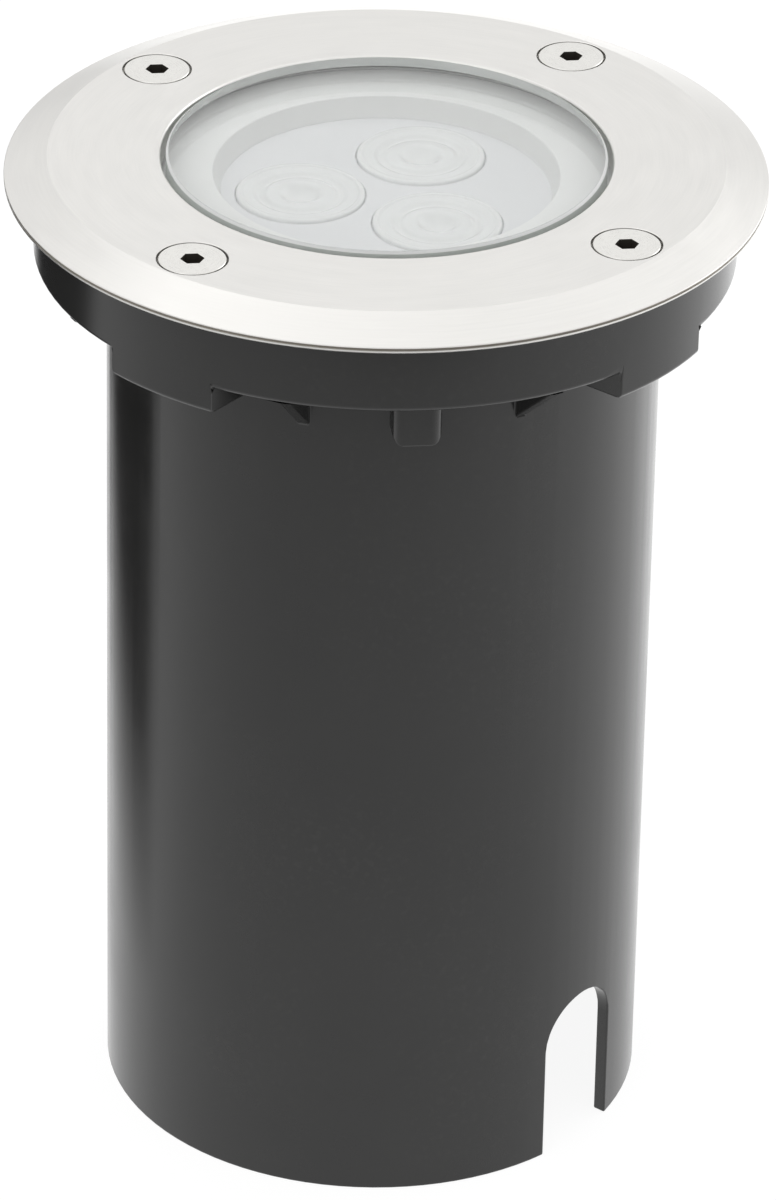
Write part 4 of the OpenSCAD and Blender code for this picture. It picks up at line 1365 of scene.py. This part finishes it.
class LIGHT_OT_studio(bpy.types.Operator):
    """Set the floor, the lamps and the camera"""
    bl_idname = "light.studio"
    bl_label = "Studio"

    def execute(self, context):
        studio = context.scene.light_studio
        self.floor(studio)
        self.world(context.scene, studio)
        self.lamp("Key", (-0.9, -0.9, 1.1), 1.2, studio.key)
        self.lamp("Top", (0.05, 0.1, 1.5), 2.0, studio.top)
        self.lamp("Back", (-0.05, 0.7, 1.25), 0.9, studio.back)
        self.lamp("Side", (1.1, 0.6, 0.7), 0.9, studio.rim)
        self.camera(context.scene, studio)
        context.scene.view_settings.view_transform = "Standard"
        return {"FINISHED"}

    def lamp(self, name, spot, size, power):
        light = bpy.data.lights.new(name, "AREA")
        light.shape = "DISK"
        light.size = size
        light.energy = power
        holder = scene_object(name, light)
        holder.location = spot
        holder.rotation_euler = (Vector((0, 0, 0.08)) - Vector(spot)).to_track_quat("-Z", "Y").to_euler()

    def floor(self, studio):
        half = 4
        mesh = bpy.data.meshes.new("floor")
        corners = [(-half, -half), (half, -half), (half, half), (-half, half)]
        mesh.from_pydata([(x, y, -0.05 * MM) for x, y in corners], [], [(0, 1, 2, 3)])
        floor = scene_object("floor", mesh)
        mesh.materials.append(self.floor_finish(studio))

    def floor_finish(self, studio):
        """Plain and pale to the camera, with a weak shadow. Mirrored and refracted rays see a painted
        reflection pattern instead, which grows brighter to the right and is dark at the back left
        """
        material, tree, shader = surface("floor_sheet", studio.floor, 0.9)
        rays = put(tree, "LightPath").outputs
        where = put(tree, "TexCoord").outputs["Object"]
        across = put(tree, "SeparateXYZ", {0: where}).outputs
        # Painted reflection: an emitted pattern for mirrored and refracted rays only, brighter to the right
        # and away, dim close to the camera
        dark = 0.03
        open_left = spread(tree, across["X"], -0.132, -0.066, dark, 1.0)
        slant = calc(tree, "MULTIPLY_ADD", across["X"], 0.4, across["Y"])
        open_front = spread(tree, slant, -0.005, -0.030, dark, 1.0)
        deeper = calc(tree, "MULTIPLY_ADD", across["Y"], 0.9, 1.10)
        rise = calc(tree, "MULTIPLY_ADD", across["X"], 0.65, deeper)
        brighter = spread(tree, rise, 0.7, 1.5, 0.7, 1.5)
        near = spread(tree, across["Y"], -0.355, -0.340, 0.3, 1.0)
        level = calc(tree, "MULTIPLY", calc(tree, "MAXIMUM", open_left, open_front), brighter)
        level = calc(tree, "MULTIPLY", level, near)
        painted_reflection = put(tree, "Emission", {
            "Color": put(tree, "CombineColor", {0: level, 1: level, 2: level}).outputs[0], "Strength": 1.0,
        })
        shadowed = put(tree, "BsdfDiffuse", {"Color": (0.14, 0.14, 0.14, 1)})
        white = put(tree, "Emission", {"Strength": 0.92})
        seen = put(tree, "AddShader", {0: shadowed.outputs[0], 1: white.outputs[0]})
        by_eye = put(tree, "MixShader", {
            0: rays["Is Camera Ray"], 1: shader.outputs[0], 2: seen.outputs[0],
        })
        mirrored = calc(tree, "MAXIMUM", rays["Is Glossy Ray"], rays["Is Transmission Ray"])
        both = put(tree, "MixShader", {0: mirrored, 1: by_eye.outputs[0], 2: painted_reflection.outputs[0]})
        tree.links.new(both.outputs[0], tree.nodes["Material Output"].inputs["Surface"])
        return material

    def world(self, scene, studio):
        world = bpy.data.worlds.new("Studio")
        world.use_nodes = True
        scene.world = world
        tree = world.node_tree
        rays = put(tree, "LightPath").outputs
        mirrored = calc(tree, "MAXIMUM", rays["Is Glossy Ray"], rays["Is Transmission Ray"])
        height = put(tree, "SeparateXYZ", {0: put(tree, "TexCoord").outputs["Generated"]}).outputs["Z"]
        overhead = spread(tree, height, 0.75, 0.92, 0.0, 0.5)
        room = calc(tree, "SUBTRACT", spread(tree, height, 0.06, 0.32, 0.88, 0.97), calc(
            tree, "MULTIPLY", overhead, rays["Is Glossy Ray"],
        ))
        lit = put(tree, "Mix", {0: mirrored, 2: studio.ambient, 3: room}).outputs[0]
        strength = calc(tree, "MAXIMUM", rays["Is Camera Ray"], lit)
        light = tree.nodes["Background"]
        light.inputs["Color"].default_value = (1, 1, 1, 1)
        tree.links.new(strength, light.inputs["Strength"])

    def camera(self, scene, studio):
        across = Vector((-sin(studio.azimuth), -cos(studio.azimuth), 0))
        back = across * cos(studio.elevation) + Vector((0, 0, sin(studio.elevation)))
        right = (-back).cross(Vector((0, 0, 1))).normalized()
        up = right.cross(-back)
        side = cos(studio.roll) * right + sin(studio.roll) * up
        top = cos(studio.roll) * up - sin(studio.roll) * right
        data = bpy.data.cameras.new("Camera")
        data.sensor_fit = "HORIZONTAL"
        data.sensor_width = 36
        data.lens = studio.lens
        data.clip_end = 20
        camera = scene_object("Camera", data)
        place_at = Matrix((side, top, back)).transposed().to_4x4()
        place_at.translation = Vector(studio.aim) + back * studio.distance
        camera.matrix_world = place_at
        scene.camera = camera


class LIGHT_PT_pieces(bpy.types.Panel):
    """The light's pieces, sizes and colours"""
    bl_label = "Recessed light"
    bl_idname = "LIGHT_PT_pieces"
    bl_space_type = "VIEW_3D"
    bl_region_type = "UI"
    bl_category = "Light"

    def draw(self, context):
        for operator in PIECES:
            self.layout.operator(operator.bl_idname)
        for group in (context.scene.light_sizes, context.scene.light_colours, context.scene.light_studio):
            box = self.layout.box()
            for name in group.__annotations__:
                box.prop(group, name)


PIECES = (
    LIGHT_OT_trim_ring, LIGHT_OT_cover_screws, LIGHT_OT_window, LIGHT_OT_optics,
    LIGHT_OT_light_engine, LIGHT_OT_lamp_housing, LIGHT_OT_driver, LIGHT_OT_cable_gland,
    LIGHT_OT_sleeve, LIGHT_OT_studio,
)
CLASSES = (LightSizes, LightColours, StudioSettings) + PIECES + (LIGHT_PT_pieces,)


def register():
    for each in CLASSES:
        bpy.utils.register_class(each)
    bpy.types.Scene.light_sizes = PointerProperty(type=LightSizes)
    bpy.types.Scene.light_colours = PointerProperty(type=LightColours)
    bpy.types.Scene.light_studio = PointerProperty(type=StudioSettings)


def unregister():
    del bpy.types.Scene.light_studio
    del bpy.types.Scene.light_colours
    del bpy.types.Scene.light_sizes
    for each in reversed(CLASSES):
        bpy.utils.unregister_class(each)


def main():
    register()
    bpy.ops.light.trim_ring()
    bpy.ops.light.cover_screws()
    bpy.ops.light.window()
    bpy.ops.light.optics()
    bpy.ops.light.light_engine()
    bpy.ops.light.lamp_housing()
    bpy.ops.light.driver()
    bpy.ops.light.cable_gland()
    bpy.ops.light.sleeve()
    bpy.ops.light.studio()


if __name__ == "__main__":
    main()
